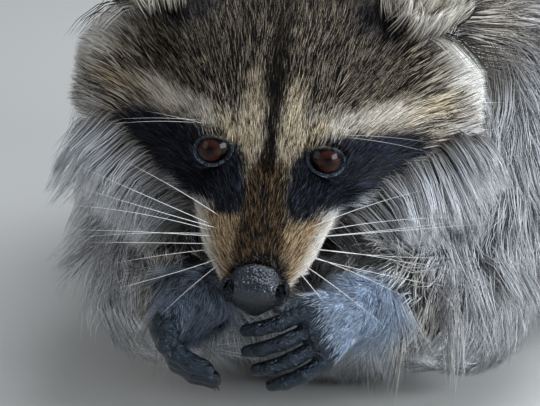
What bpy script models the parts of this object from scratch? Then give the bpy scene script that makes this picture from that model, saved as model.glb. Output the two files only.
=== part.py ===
"""A raccoon that crouches over its raised hands, life-size, as a museum's still model.

The frame is in metres with +Z up. The animal faces -Y, its left side is towards +X, and its
hindquarters are turned towards +X. Every solid is the animal's form out to the tips of the coat.
The flesh is rounded forms that are blended into one surface and then parted with thin cuts.
The forms are placed from the point on the floor under the eyes, and the whole is then moved so
that the origin is the middle of its footprint.
"""

import math

import bmesh
import bpy
from mathutils import Matrix, Vector

# ---------------------------------------------------------------- driving sizes
EYE_SPACING = 0.046  # between the middles of the eyeballs
EYE_RADIUS = 0.0082
MUZZLE_REACH = 0.058  # from the eyes forward to the root of the nose pad
RUFF_HALF_WIDTH = 0.087  # the middle of the face to the tips of the cheek fur
EAR_LENGTH = 0.052
PALM_LENGTH = 0.021
CLAW_LENGTH = 0.0085
TAIL_RADIUS = 0.038

GAP = 0.0003  # between touching solids
HARD_ANGLE = math.radians(40)  # edges sharper than this are shaded sharp

# ---------------------------------------------------------------- the pose
EYES_AT = Vector((0.0, 0.0, 0.125))  # the point midway between the eyes
HEAD_BOW = math.radians(19)  # the muzzle points this far below level
HEAD_TURN = math.radians(-2.5)
HEAD_LEAN = math.radians(5)  # the crown leans to the animal's left
BODY_TURN = math.radians(20.5)  # of the trunk, from +Y towards +X
HIPS_AT = Vector((0.093, 0.32, 0.0))  # the floor point under the hips
NECK_CUT = Vector((0.004, 0.072, 0.130)), Vector((0.15, 1.0, 0.10))  # a point of it, and the way back
THROAT_LEVEL = 0.0628  # the head's underside, above the breast

HEAD_FRAME = (
    Matrix.Translation(EYES_AT)
    @ Matrix.Rotation(HEAD_LEAN, 4, "Y")
    @ Matrix.Rotation(HEAD_TURN, 4, "Z")
    @ Matrix.Rotation(HEAD_BOW, 4, "X")
)
BODY_AXES = Matrix.Rotation(-BODY_TURN, 3, "Z")
NO_TURN = Matrix.Identity(3)
NO_MOVE = Matrix.Identity(4)
UP = Vector((0, 0, 1))
FLOOR = Vector((0, 0, 0))
SIDES = {"left": 1, "right": -1}

# ---------------------------------------------------------------- finishes
FINISHES = {
    "grey_coat": ((0.19, 0.165, 0.14), 0.85),
    "face_coat": ((0.24, 0.21, 0.17), 0.85),
    "tan_muzzle": ((0.40, 0.30, 0.19), 0.8),
    "pale_ear": ((0.45, 0.42, 0.37), 0.85),
    "ringed_tail": ((0.14, 0.12, 0.10), 0.85),
    "dark_paw": ((0.045, 0.043, 0.045), 0.7),
    "wet_nose": ((0.012, 0.012, 0.014), 0.3),
    "brown_eye": ((0.05, 0.018, 0.008), 0.08),
    "horn_claw": ((0.03, 0.026, 0.022), 0.4),
}


def finish(name):
    """The Principled material of this name, made the first time that it is asked for."""
    material = bpy.data.materials.get(name)
    if material is None:
        colour, roughness = FINISHES[name]
        material = bpy.data.materials.new(name)
        material.use_nodes = True
        shader = material.node_tree.nodes["Principled BSDF"]
        shader.inputs["Base Color"].default_value = (*colour, 1)
        shader.inputs["Roughness"].default_value = roughness
        shader.inputs["Metallic"].default_value = 0.0
    return material


def painted(obj, name, finish_name):
    """Names a finished solid and gives it its material."""
    obj.name = name
    obj.data.name = name
    obj.data.materials.clear()
    obj.data.materials.append(finish(finish_name))
    obj.data.shade_smooth()
    obj.data.set_sharp_from_angle(angle=HARD_ANGLE)
    return obj


# ---------------------------------------------------------------- forms
def ball(centre, radii, turn=NO_TURN):
    """An ellipsoid to build a form from. One radius makes it round."""
    if not isinstance(radii, tuple):
        radii = (radii, radii, radii)
    return Vector(centre), radii, turn


def mirrored(one_ball):
    """The same ellipsoid on the head's other side."""
    centre, radii, turn = one_ball
    return Vector((-centre.x, centre.y, centre.z)), radii, turn


def hull(*balls):
    """A bmesh of the skin stretched over some ellipsoids."""
    form = bmesh.new()
    for centre, radii, turn in balls:
        place = Matrix.Translation(centre) @ turn.to_4x4() @ Matrix.Diagonal((*radii, 1))
        bmesh.ops.create_icosphere(form, subdivisions=3, radius=1, matrix=place)
    bmesh.ops.delete(form, geom=form.edges[:] + form.faces[:], context="EDGES_FACES")
    made = bmesh.ops.convex_hull(form, input=form.verts[:])
    inside = [v for v in made["geom_interior"] if isinstance(v, bmesh.types.BMVert)]
    bmesh.ops.delete(form, geom=inside, context="VERTS")
    return form


def chain(*balls):
    """Forms that run from each ellipsoid to the next."""
    return [hull(first, second) for first, second in zip(balls, balls[1:])]


# ---------------------------------------------------------------- tools for meshes
def add_object(name, mesh):
    obj = bpy.data.objects.new(name, mesh)
    bpy.context.scene.collection.objects.link(obj)
    return obj


def joined(name, forms, place=NO_MOVE):
    """One object that holds all these forms, which may still overlap."""
    whole = bmesh.new()
    for form in forms:
        piece = bpy.data.meshes.new(name)
        form.to_mesh(piece)
        form.free()
        whole.from_mesh(piece)
        bpy.data.meshes.remove(piece)
    bmesh.ops.transform(whole, matrix=place, verts=whole.verts[:])
    mesh = bpy.data.meshes.new(name)
    whole.to_mesh(mesh)
    whole.free()
    return add_object(name, mesh)


def with_forms(obj, forms):
    """Adds further forms to an object that is still loose forms."""
    more = joined("more", forms)
    work = bmesh.new()
    work.from_mesh(obj.data)
    work.from_mesh(more.data)
    work.to_mesh(obj.data)
    work.free()
    bpy.data.objects.remove(more)
    return obj


def apply_modifiers(obj):
    """Replaces the object's mesh by what its modifiers make of it."""
    bpy.context.view_layer.update()
    graph = bpy.context.evaluated_depsgraph_get()
    mesh = bpy.data.meshes.new_from_object(obj.evaluated_get(graph), depsgraph=graph)
    obj.modifiers.clear()
    obj.data = mesh
    return obj


def blend(obj, voxel, rounds, triangles):
    """Melts overlapping forms into one smooth surface of about this many triangles."""
    remesh = obj.modifiers.new("melt", "REMESH")
    remesh.mode = "VOXEL"
    remesh.voxel_size = voxel
    smooth = obj.modifiers.new("flow", "SMOOTH")
    smooth.factor = 0.5
    smooth.iterations = rounds
    apply_modifiers(obj)
    count = sum(len(face.vertices) - 2 for face in obj.data.polygons)
    if count > triangles:
        thin = obj.modifiers.new("thin", "DECIMATE")
        thin.ratio = triangles / count
        apply_modifiers(obj)
    return obj


def hidden(obj):
    """Marks an object as a cutter, which is no part of the model."""
    obj.hide_render = True
    obj.display_type = "WIRE"
    return obj


def grown(obj, by):
    """A cutter in the shape of an object, larger by this much all round."""
    cutter = hidden(add_object(obj.name + "_cutter", obj.data.copy()))
    swell = bmesh.new()
    swell.from_mesh(cutter.data)
    swell.normal_update()
    for vertex in swell.verts:
        vertex.co += vertex.normal * by * max(vertex.calc_shell_factor(), 1.0)
    swell.to_mesh(cutter.data)
    swell.free()
    return cutter


def one_body(obj):
    """Drops the crumbs that a cut leaves, and keeps the largest body."""
    work = bmesh.new()
    work.from_mesh(obj.data)
    bodies = []
    unseen = set(work.verts)
    while unseen:
        front = [unseen.pop()]
        body = set(front)
        while front:
            neighbours = {v for edge in front.pop().link_edges for v in edge.verts}
            fresh = neighbours & unseen
            unseen -= fresh
            body |= fresh
            front += fresh
        bodies.append(body)
    crumbs = sorted(bodies, key=len)[:-1]
    bmesh.ops.delete(work, geom=[v for body in crumbs for v in body], context="VERTS")
    work.to_mesh(obj.data)
    work.free()
    return obj


def boolean(obj, cutter, operation):
    """Cuts obj with a cutter, which is used up."""
    modifier = obj.modifiers.new(operation, "BOOLEAN")
    modifier.operation = operation
    modifier.solver = "EXACT"
    modifier.object = cutter
    apply_modifiers(obj)
    bpy.data.objects.remove(cutter)
    return one_body(obj)


def seat(host, part):
    """Sinks a finished part into its host, with the gap that touching solids keep."""
    return boolean(host, grown(part, GAP), "DIFFERENCE")


def keep_side(obj, point, normal):
    """Keeps what lies beyond the plane, on the side that its normal points to, and closes the cut."""
    work = bmesh.new()
    work.from_mesh(obj.data)
    bmesh.ops.bisect_plane(
        work,
        geom=work.verts[:] + work.edges[:] + work.faces[:],
        dist=1e-6,
        plane_co=point,
        plane_no=normal,
        clear_inner=True,
    )
    rim = [edge for edge in work.edges if edge.is_boundary]
    bmesh.ops.holes_fill(work, edges=rim, sides=0)
    bmesh.ops.triangulate(work, faces=work.faces[:])
    bmesh.ops.recalc_face_normals(work, faces=work.faces[:])
    work.to_mesh(obj.data)
    work.free()
    return obj


def part_at(obj, far_name, point, normal):
    """Parts an object with a thin flat cut. What lies beyond it becomes a new object."""
    point = Vector(point)
    normal = Vector(normal).normalized()
    far = add_object(far_name, obj.data.copy())
    keep_side(far, point + normal * GAP / 2, normal)
    keep_side(obj, point - normal * GAP / 2, -normal)
    return far


def part_inside(obj, name, cutter):
    """Parts off what lies inside a closed cutter, and leaves a thin gap round it."""
    inner = add_object(name, obj.data.copy())
    boolean(obj, grown(cutter, GAP), "DIFFERENCE")
    return boolean(inner, hidden(cutter), "INTERSECT")


def sleeve(*balls, extra=0.004):
    """A closed cutter round a limb, a little wider than the limb is."""
    wider = [ball(at, tuple(r + extra for r in radii), turn) for at, radii, turn in balls]
    return hidden(blend(joined("sleeve", chain(*wider)), 0.004, 3, 56))


# ---------------------------------------------------------------- head
def head_forms():
    """The head in its own frame: midway between the eyes, -Y to the nose, +X to the animal's left."""
    nose_root = -MUZZLE_REACH
    ruff = RUFF_HALF_WIDTH - 0.028
    muzzle_end = ball((0, nose_root + 0.007, -0.0280), (0.0145, 0.0105, 0.0105))
    muzzle_pads = ball((0, nose_root + 0.033, -0.0270), (0.0245, 0.0165, 0.0160))
    face_middle = ball((0, 0.0090, -0.0150), (0.0340, 0.0190, 0.0250))
    brow = ball((0, 0.0160, 0.0020), (0.0370, 0.0185, 0.0175))
    crown = ball((0, 0.0500, 0.0120), (0.0550, 0.0330, 0.0320))
    nape = ball((0, 0.0760, 0.0100), (0.0580, 0.0300, 0.0400))
    throat = ball((0, 0.0400, -0.0330), (0.0430, 0.0300, 0.0210))
    cheek = ball((0.0260, 0.0165, -0.0150), (0.0220, 0.0160, 0.0220))
    ruff_low = ball((ruff, 0.0460, -0.0090), (0.0280, 0.0190, 0.0270))
    ruff_high = ball((ruff + 0.001, 0.0520, 0.0080), (0.0260, 0.0180, 0.0240))
    forms = chain(muzzle_end, muzzle_pads, face_middle)
    forms += chain(brow, crown, nape)
    forms += [hull(face_middle, brow), hull(face_middle, throat)]
    for side in (lambda b: b, mirrored):
        forms += chain(side(cheek), side(ruff_low), side(ruff_high), crown)
        forms += [hull(side(cheek), side(ruff_high)), hull(side(ruff_low), throat)]
    return forms


def jaw_forms():
    """The lower jaw, from the chin back to the throat, in the head's frame."""
    chin = ball((0, -0.0400, -0.0385), (0.0105, 0.0085, 0.0055))
    jaw_back = ball((0, -0.0040, -0.0390), (0.0230, 0.0160, 0.0120))
    throat = ball((0, 0.0300, -0.0360), (0.0360, 0.0250, 0.0190))
    return chain(chin, jaw_back, throat)


def make_eye(side_name, side):
    """An eyeball. Its bulge shows in the socket that it is seated in."""
    form = bmesh.new()
    bmesh.ops.create_uvsphere(form, u_segments=14, v_segments=8, radius=EYE_RADIUS)
    middle = Matrix.Translation((side * EYE_SPACING / 2, -0.0005, 0.0))
    gaze = Matrix.Rotation(side * math.radians(22), 4, "Z") @ Matrix.Rotation(math.pi / 2, 4, "X")
    eye = joined("eye", [form], HEAD_FRAME @ middle @ gaze)
    return painted(eye, "eye_" + side_name, "brown_eye")


def make_nose():
    """The bare nose pad, with its two comma-shaped nostrils."""
    root = -MUZZLE_REACH
    pad = chain(
        ball((0, root + 0.0015, -0.0240), (0.0085, 0.0050, 0.0060)),
        ball((0, root - 0.0040, -0.0262), (0.0128, 0.0050, 0.0082)),
        ball((0, root - 0.0015, -0.0345), (0.0056, 0.0045, 0.0058)),
    )
    nose = blend(joined("nose", pad, HEAD_FRAME), 0.0011, 3, 180)
    for side in SIDES.values():
        opening = hull(
            ball((side * 0.0060, root - 0.0100, -0.0275), (0.0022, 0.0028, 0.0025)),
            ball((side * 0.0108, root - 0.0055, -0.0290), (0.0014, 0.0030, 0.0012)),
        )
        nostril = blend(joined("nostril", [opening], HEAD_FRAME), 0.0006, 1, 24)
        boolean(nose, hidden(nostril), "DIFFERENCE")
    return painted(nose, "nose", "wet_nose")


def make_ear(side_name, side):
    """A rounded, cupped ear. Its root is sunk into the crown."""
    half = EAR_LENGTH / 2
    lean = Matrix.Rotation(side * math.radians(17), 4, "Y")
    opened_out = Matrix.Rotation(side * math.radians(24), 4, "Z")
    place = HEAD_FRAME @ Matrix.Translation((side * 0.0550, 0.0570, 0.0350)) @ lean @ opened_out
    root = ball((0, 0.002, half * 0.25), (0.0170, 0.0105, half * 0.62))
    blade = ball((0, 0.001, half * 1.10), (0.0205, 0.0075, half * 0.75))
    tip = ball((0, 0.000, half * 1.55), (0.0140, 0.0050, half * 0.50))
    ear = blend(joined("ear", chain(root, blade, tip), place), 0.0016, 4, 160)
    hollow = hull(
        ball((0, -0.0115, half * 0.95), (0.0125, 0.0105, half * 0.55)),
        ball((0, -0.0100, half * 1.50), (0.0085, 0.0088, half * 0.42)),
    )
    cup = blend(joined("cup", [hollow], place), 0.0016, 1, 36)
    boolean(ear, hidden(cup), "DIFFERENCE")
    return painted(ear, "ear_" + side_name, "pale_ear")


def mouth_wedge():
    """A cutter whose top follows the line of the mouth."""
    block = bmesh.new()
    bmesh.ops.create_cube(block, size=1)
    place = Matrix.Translation((0, -0.0250, -0.0560)) @ Matrix.Rotation(math.radians(-9), 4, "X")
    size = Matrix.Diagonal((0.060, 0.052, 0.044, 1))
    return joined("mouth_wedge", [block], HEAD_FRAME @ place @ size)


def make_head(eyes, ears, nose):
    """The head, parted into muzzle, lower jaw and skull, with the eyes, ears and nose seated in it."""
    head = joined("head", head_forms() + jaw_forms(), HEAD_FRAME)
    head = with_forms(head, chain(*trunk_stations()[:3]))
    blend(head, 0.0020, 6, 1080)
    point, way_back = NECK_CUT
    keep_side(head, point - way_back.normalized() * GAP / 2, -way_back)
    keep_side(head, UP * (THROAT_LEVEL + GAP / 2), UP)
    jaw = part_inside(head, "jaw", mouth_wedge())
    below_the_eyes = HEAD_FRAME @ Vector((0, -0.0130, -0.0100))
    ahead = HEAD_FRAME.to_3x3() @ Vector((0, -1, 0.35))
    muzzle = part_at(head, "muzzle", below_the_eyes, ahead)
    seat(muzzle, nose)
    for part in eyes + ears:
        seat(head, part)
    painted(muzzle, "muzzle", "tan_muzzle")
    painted(jaw, "jaw", "tan_muzzle")
    return painted(head, "head", "face_coat")


# ---------------------------------------------------------------- trunk and tail
def trunk_stations():
    """The trunk from the neck to the rump: (middle, half-width, half-length, half-height)."""
    stations = (
        ((0.006, 0.082, 0.130), 0.066, 0.034, 0.0620),
        ((0.014, 0.112, 0.122), 0.077, 0.042, 0.0820),
        ((0.028, 0.150, 0.110), 0.091, 0.056, 0.1125),
        ((0.047, 0.200, 0.128), 0.107, 0.070, 0.1220),
        ((0.067, 0.252, 0.136), 0.119, 0.075, 0.1290),
        ((0.086, 0.300, 0.119), 0.125, 0.075, 0.1240),
        ((0.104, 0.345, 0.094), 0.116, 0.065, 0.1000),
        ((0.117, 0.378, 0.070), 0.086, 0.050, 0.0740),
    )
    return [ball(at, (wide, long, high), BODY_AXES) for at, wide, long, high in stations]


def breast_forms():
    """The long fur of the throat and breast, which hangs behind the hands to the floor."""
    trunk = trunk_stations()
    breast = ball((0.010, 0.078, 0.072), (0.056, 0.034, 0.0580), BODY_AXES)
    apron = ball((0.018, 0.098, 0.040), (0.068, 0.040, 0.0425), BODY_AXES)
    forms = [hull(trunk[0], breast), hull(breast, apron), hull(breast, trunk[2]), hull(apron, trunk[2])]
    for side in SIDES.values():
        shoulder, upper = arm_stations(side)[:2]
        forms += [hull(shoulder, trunk[1]), hull(shoulder, trunk[2]), hull(upper, trunk[2])]
    return forms


def tail_stations():
    """The tail lies on the floor and curls round to the animal's left: (middle, share of its radius)."""
    path = (
        ((0.122, 0.400, 0.056), 0.85),
        ((0.142, 0.446, 0.041), 0.95),
        ((0.180, 0.480, 0.037), 1.00),
        ((0.232, 0.490, 0.037), 1.00),
        ((0.279, 0.472, 0.036), 0.97),
        ((0.309, 0.434, 0.034), 0.86),
        ((0.322, 0.404, 0.028), 0.55),
    )
    return [ball(at, share * TAIL_RADIUS) for at, share in path]


# ---------------------------------------------------------------- legs
def arm_joints(side):
    """Shoulder, elbow and wrist. The elbow is folded beside the breast, the wrist is under the chin."""
    if side > 0:
        return Vector((0.082, 0.124, 0.112)), Vector((0.081, 0.072, 0.047)), Vector((0.031, -0.020, 0.0628))
    return Vector((-0.024, 0.152, 0.112)), Vector((-0.042, 0.084, 0.047)), Vector((-0.028, -0.010, 0.0645))


def arm_stations(side):
    shoulder, elbow, wrist = arm_joints(side)
    return (
        ball(shoulder, 0.050),
        ball(shoulder.lerp(elbow, 0.55), 0.043),
        ball(elbow, 0.037),
        ball(elbow.lerp(wrist, 0.45), 0.0250),
        ball(wrist, 0.0140),
        ball(wrist + (wrist - elbow).normalized() * 0.012, 0.0130),
    )


def leg_joints(side):
    """Hip, knee, heel and the ball of the foot of a folded hind leg."""

    def from_hips(forward, outward, height):
        return HIPS_AT + BODY_AXES @ Vector((outward, -forward, height))

    return (
        from_hips(0.000, side * 0.060, 0.092),
        from_hips(0.088, side * 0.102, 0.086),
        from_hips(0.012, side * 0.094, 0.024),
        from_hips(0.088, side * 0.103, 0.012),
    )


def leg_stations(side):
    hip, knee, heel, toes = leg_joints(side)
    return (
        ball(hip, 0.074),
        ball(knee, 0.045),
        ball(knee.lerp(heel, 0.5), 0.033),
        ball(heel, 0.0205),
        ball(heel.lerp(toes, 0.30), (0.0165, 0.0165, 0.0145)),
    )


# ---------------------------------------------------------------- hands and feet
def bent_digit(root, along, towards_palm, lengths, bends, radii):
    """A digit whose bones turn step by step towards the palm: its forms, its tip and its last heading."""
    balls = [ball(root, radii[0])]
    at = root
    angle = 0.0
    for length, bend, radius in zip(lengths, bends, radii[1:]):
        angle += bend
        heading = along * math.cos(angle) + towards_palm * math.sin(angle)
        at = at + heading * length
        balls.append(ball(at, radius))
    return chain(*balls), at, heading


def make_claw(name, tip, heading, towards_palm, length):
    """A curved, tapering claw that starts inside the end of its digit."""
    radius = 0.19 * length
    at = tip - heading * 0.25 * length
    balls = [ball(at, radius)]
    for step in range(1, 4):
        angle = math.radians(16) * step
        at = at + (heading * math.cos(angle) + towards_palm * math.sin(angle)) * length * 0.38
        balls.append(ball(at, radius * (1 - 0.27 * step)))
    claw = blend(joined(name, chain(*balls)), 0.0005, 2, 16)
    return painted(claw, name, "horn_claw")


def make_hand(side_name, side, along, thumb_side, bends):
    """A hand with a thumb and four fingers, which end in claws."""
    wrist = arm_joints(side)[2]
    along = along.normalized()
    thumb_side = (thumb_side - along * thumb_side.dot(along)).normalized()
    towards_palm = along.cross(thumb_side).normalized() * side
    palm_turn = Matrix((thumb_side, along, towards_palm)).transposed()
    heel_of_hand = ball(wrist, (0.0152, 0.0135, 0.0145), palm_turn)
    knuckles = ball(wrist + along * PALM_LENGTH, (0.0158, 0.0070, 0.0085), palm_turn)
    forms = [hull(heel_of_hand, knuckles)]
    thumb_along = (along + thumb_side * 0.45).normalized()
    thumb_root = wrist + along * 0.010 + thumb_side * 0.0105
    digits = [(thumb_root, thumb_along, (0.011, 0.008), (0.35, 0.25), (0.0052, 0.0044, 0.0036))]
    for across, reach in ((0.0114, 0.90), (0.0038, 1.0), (-0.0038, 0.98), (-0.0114, 0.86)):
        root = wrist + along * PALM_LENGTH + thumb_side * across
        fan = (along + thumb_side * across * 9).normalized()
        lengths = (0.0125 * reach, 0.0095 * reach, 0.0075 * reach)
        digits.append((root, fan, lengths, bends, (0.0052, 0.0047, 0.0043, 0.0036)))
    claws = []
    for number, (root, heading, lengths, turns, radii) in enumerate(digits, 1):
        digit, tip, heading = bent_digit(root, heading, towards_palm, lengths, turns, radii)
        forms += digit
        curl = (towards_palm - heading * towards_palm.dot(heading)).normalized()
        claws.append(make_claw(f"claw_hand_{side_name}_{number}", tip, heading, curl, CLAW_LENGTH))
    hand = blend(joined("hand", forms), 0.0011, 2, 235)
    for claw in claws:
        seat(hand, claw)
    return painted(hand, "hand_" + side_name, "dark_paw")


def make_foot(side_name, side):
    """A flat hind foot with five toes and their claws, its sole on the floor."""
    heel, toes = leg_joints(side)[2:]
    along = Vector((toes.x - heel.x, toes.y - heel.y, 0)).normalized()
    outward = along.cross(UP) * -side
    turn = Matrix((outward, along, UP)).transposed()
    ankle = Vector((heel.x, heel.y, 0.0175))
    sole_back = ball(ankle, (0.0150, 0.0150, 0.0175), turn)
    instep = ball(ankle + along * 0.036 - UP * 0.002, (0.0150, 0.0150, 0.0150), turn)
    tread = ball(Vector((toes.x, toes.y, 0.0085)) - along * 0.006, (0.0195, 0.0120, 0.0095), turn)
    forms = chain(sole_back, instep, tread)
    claws = []
    for number in range(1, 6):
        from_middle = number - 3
        reach = 0.021 - 0.0016 * from_middle**2
        root = Vector((toes.x, toes.y, 0.0072)) + outward * from_middle * 0.0074
        fan = (along + outward * from_middle * 0.098).normalized()
        lengths = (reach * 0.55, reach * 0.5)
        toe, tip, heading = bent_digit(root, fan, -UP, lengths, (-0.05, 0.22), (0.0060, 0.0054, 0.0046))
        forms += toe
        curl = (heading * heading.z - UP).normalized()
        raised = tip + UP * 0.0016
        claws.append(make_claw(f"claw_foot_{side_name}_{number}", raised, heading, curl, CLAW_LENGTH * 1.15))
    foot = blend(joined("foot", forms), 0.0014, 2, 150)
    for claw in claws:
        seat(foot, claw)
    keep_side(foot, FLOOR, UP)
    return painted(foot, "foot_" + side_name, "dark_paw")


def make_hands():
    """The left hand's back is to the front. The right hand's back is to its side, and it is bent more."""
    left_along, left_thumb = Vector((-0.60, -0.72, -0.32)), Vector((-0.3, -0.05, 0.9))
    right_along, right_thumb = Vector((-0.74, -0.28, -0.60)), Vector((0.1, -0.8, 0.6))
    return {
        "left": make_hand("left", 1, left_along, left_thumb, (0.50, 0.42, 0.38)),
        "right": make_hand("right", -1, right_along, right_thumb, (1.35, 0.42, 0.25)),
    }


# ---------------------------------------------------------------- body
def make_body():
    """The neck, trunk, tail and legs, melted into one surface that stands on the floor."""
    trunk = trunk_stations()
    forms = chain(*trunk) + chain(trunk[-1], *tail_stations()) + breast_forms()
    for side in SIDES.values():
        forms += chain(*arm_stations(side)) + chain(*leg_stations(side))
    body = with_forms(joined("belly", head_forms(), HEAD_FRAME), forms)
    blend(body, 0.0030, 12, 940)
    return keep_side(body, FLOOR, UP)


def part_arm(body, head, hand, side_name, side):
    """Parts the forearm and the upper arm off the body, and fits the hand to the wrist."""
    arm = arm_stations(side)
    elbow, wrist = arm_joints(side)[1:]
    along = (wrist - elbow).normalized()
    wrist_cut = wrist + along * 0.002
    beyond = ball(wrist + along * 0.030, 0.018)
    forearm = part_inside(body, "forearm_" + side_name, sleeve(*arm[2:], beyond))
    keep_side(forearm, wrist_cut - along * GAP / 2, -along)
    keep_side(hand, wrist_cut + along * GAP / 2, along)
    upper_arm = part_inside(body, "upper_arm_" + side_name, sleeve(*arm[:3]))
    for piece in (forearm, upper_arm):
        seat(piece, head)
        painted(piece, piece.name, "grey_coat")
    painted(hand, hand.name, "dark_paw")


def part_leg(body, foot, side_name, side):
    """Parts the shank and the thigh off the body, and seats the foot under the heel."""
    leg = leg_stations(side)
    shank = part_inside(body, "shank_" + side_name, sleeve(*leg[1:]))
    seat(shank, foot)
    thigh = part_inside(body, "thigh_" + side_name, sleeve(*leg[:2]))
    painted(shank, shank.name, "grey_coat")
    painted(thigh, thigh.name, "grey_coat")


def head_room():
    """A cutter over all that lies ahead of the neck and above the breast."""
    point, way_back = NECK_CUT
    block = bmesh.new()
    bmesh.ops.create_cube(block, size=1)
    bmesh.ops.transform(block, matrix=Matrix.Diagonal((0.5, 0.5, 0.3, 1)), verts=block.verts[:])
    for vertex in block.verts:
        vertex.co.z += THROAT_LEVEL - GAP / 2 + 0.15
        if vertex.co.y > 0:
            sideways = way_back.x * (vertex.co.x - point.x) + way_back.z * (vertex.co.z - point.z)
            vertex.co.y = point.y - sideways / way_back.y + GAP / 2
    return hidden(joined("head_room", [block]))


def part_trunk(body):
    """Parts the trunk and the tail with flat cuts, from the neck back to the tail's tip."""
    boolean(body, head_room(), "DIFFERENCE")
    neck = part_at(body, "neck", (0.022, 0.130, 0.13), (-0.25, -1, 0.05))
    chest = part_at(body, "chest", (0.052, 0.215, 0.13), (-0.32, -1, 0))
    rump = part_at(body, "rump", (0.092, 0.318, 0.12), (0.36, 1, -0.15))
    tail_base = part_at(rump, "tail_base", (0.131, 0.421, 0.05), (0.45, 1, 0))
    tail_middle = part_at(tail_base, "tail_middle", (0.196, 0.485, 0.03), (1, 0.1, 0))
    tail_tip = part_at(tail_middle, "tail_tip", (0.284, 0.465, 0.03), (0.7, -0.7, 0))
    for piece in (body, neck, chest, rump):
        painted(piece, piece.name, "grey_coat")
    for piece in (tail_base, tail_middle, tail_tip):
        painted(piece, piece.name, "ringed_tail")


# ---------------------------------------------------------------- assembly
def centre_footprint():
    """Moves the whole animal so that the origin is the middle of its footprint, on the floor."""
    solids = [obj for obj in bpy.data.objects if not obj.hide_render]
    corners = [vertex.co for obj in solids for vertex in obj.data.vertices]
    low = [min(corner[axis] for corner in corners) for axis in range(3)]
    high = [max(corner[axis] for corner in corners) for axis in range(3)]
    middle = Vector(((low[0] + high[0]) / 2, (low[1] + high[1]) / 2, low[2]))
    for obj in solids:
        obj.data.transform(Matrix.Translation(-middle))


def main():
    for old in list(bpy.data.objects):
        bpy.data.objects.remove(old)
    nose = make_nose()
    eyes = [make_eye(*side) for side in SIDES.items()]
    ears = [make_ear(*side) for side in SIDES.items()]
    head = make_head(eyes, ears, nose)
    hands = make_hands()
    feet = {name: make_foot(name, side) for name, side in SIDES.items()}
    body = make_body()
    for name, side in SIDES.items():
        part_arm(body, head, hands[name], name, side)
        part_leg(body, feet[name], name, side)
    part_trunk(body)
    centre_footprint()


main()
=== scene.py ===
# A crouching raccoon, life-size, as a museum's still model: its skin, coat, eyes, nose, claws and
# whiskers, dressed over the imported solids. Units are metres. The floor is at z = 0.
import math

import bmesh
import bpy
import numpy as np
from mathutils import Matrix, Vector
from mathutils.bvhtree import BVHTree
from mathutils.kdtree import KDTree


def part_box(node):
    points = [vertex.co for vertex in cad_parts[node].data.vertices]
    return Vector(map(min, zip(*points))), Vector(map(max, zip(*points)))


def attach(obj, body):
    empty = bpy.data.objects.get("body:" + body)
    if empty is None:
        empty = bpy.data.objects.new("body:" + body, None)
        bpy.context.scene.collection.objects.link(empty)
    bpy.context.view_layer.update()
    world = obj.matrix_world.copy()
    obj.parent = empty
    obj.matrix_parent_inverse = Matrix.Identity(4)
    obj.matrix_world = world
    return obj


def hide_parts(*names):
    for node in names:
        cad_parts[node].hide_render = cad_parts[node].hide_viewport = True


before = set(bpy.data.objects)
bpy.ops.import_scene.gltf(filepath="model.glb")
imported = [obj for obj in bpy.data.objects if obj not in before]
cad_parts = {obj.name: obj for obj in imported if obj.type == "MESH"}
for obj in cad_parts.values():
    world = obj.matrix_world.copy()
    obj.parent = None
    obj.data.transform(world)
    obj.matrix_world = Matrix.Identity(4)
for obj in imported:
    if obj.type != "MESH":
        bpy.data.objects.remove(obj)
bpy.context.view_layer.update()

scene = bpy.context.scene
MM = 0.001
CM = 0.01

# ---------------------------------------------------------------- the head's own axes
# The head has axes of its own, because the face is bowed, turned and leant. They are taken from the
# eyeballs and the nose pad: x to the animal's left, y from the nose to the nape, z to the crown.
NOSE_DROP = math.radians(24)  # the nose pad lies this far below the line of sight
FACE_SLOPE = math.radians(33)  # the face is mapped on a plan that leans back this far


def middle_of(node):
    low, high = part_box(node)
    return (low + high) / 2


eyes_at = (middle_of("eye_left") + middle_of("eye_right")) / 2
across = (middle_of("eye_left") - middle_of("eye_right")).normalized()
to_nose = middle_of("nose") - eyes_at
to_nose = (to_nose - across * to_nose.dot(across)).normalized()
ahead = Matrix.Rotation(-NOSE_DROP, 3, across) @ to_nose
crown = across.cross(-ahead)
head_axes = np.array([across, -ahead, crown])


def in_head(points):
    """Points, as an array, in the head's own axes."""
    return (points - np.array(eyes_at)) @ head_axes.T


def from_head(vectors):
    """Directions in the head's own axes turned to the model's."""
    return vectors @ head_axes


def face_plan(points):
    """How far each point lies across and up the face, in centimetres from between the eyes."""
    local = in_head(points)
    up = local[:, 2] * math.cos(FACE_SLOPE) + local[:, 1] * math.sin(FACE_SLOPE)
    return local[:, 0] / CM, up / CM


# ---------------------------------------------------------------- the form of the coat
# The outline of the coat's tips, melted from the solids into one surface. It is a guide, and never
# shows. Each of its points knows how deep and long the fur is there and which way it lies.
FORM_VOXEL = 3 * MM
FLESH = [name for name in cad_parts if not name.startswith(("eye", "nose", "claw"))]
# millimetres: the depth of the coat over the skin, and the length of its hair
COAT_DEPTH = {
    "neck": (14, 38),
    "chest": (17, 44),
    "belly": (18, 46),
    "rump": (18, 46),
    "upper_arm": (13, 44),
    "forearm": (10, 40),
    "hand": (0.8, 5),
    "thigh": (14, 38),
    "shank": (9, 26),
    "foot": (1.0, 5),
    "tail_base": (16, 38),
    "tail_middle": (18, 40),
    "tail_tip": (13, 38),
}
GROUPS = ("head", "muzzle", "jaw", "ear", "forearm", "hand", "foot", "tail", "upper_arm", "leg")
LEGS = ("thigh", "shank")


def group_of(node):
    if node.startswith(LEGS):
        return "leg"
    for group in GROUPS:
        if node.startswith(group):
            return group
    return None


def stored_in(items, what, kind=np.float32, width=3):
    """What a mesh keeps for each of its points, corners or triangles, as rows of an array."""
    values = np.empty(len(items) * width, kind)
    items.foreach_get(what, values)
    return values.reshape(-1, width)


def points_of(mesh):
    return stored_in(mesh.vertices, "co").astype(float)


def normals_of(mesh):
    return stored_in(mesh.vertex_normals, "vector").astype(float)


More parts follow.
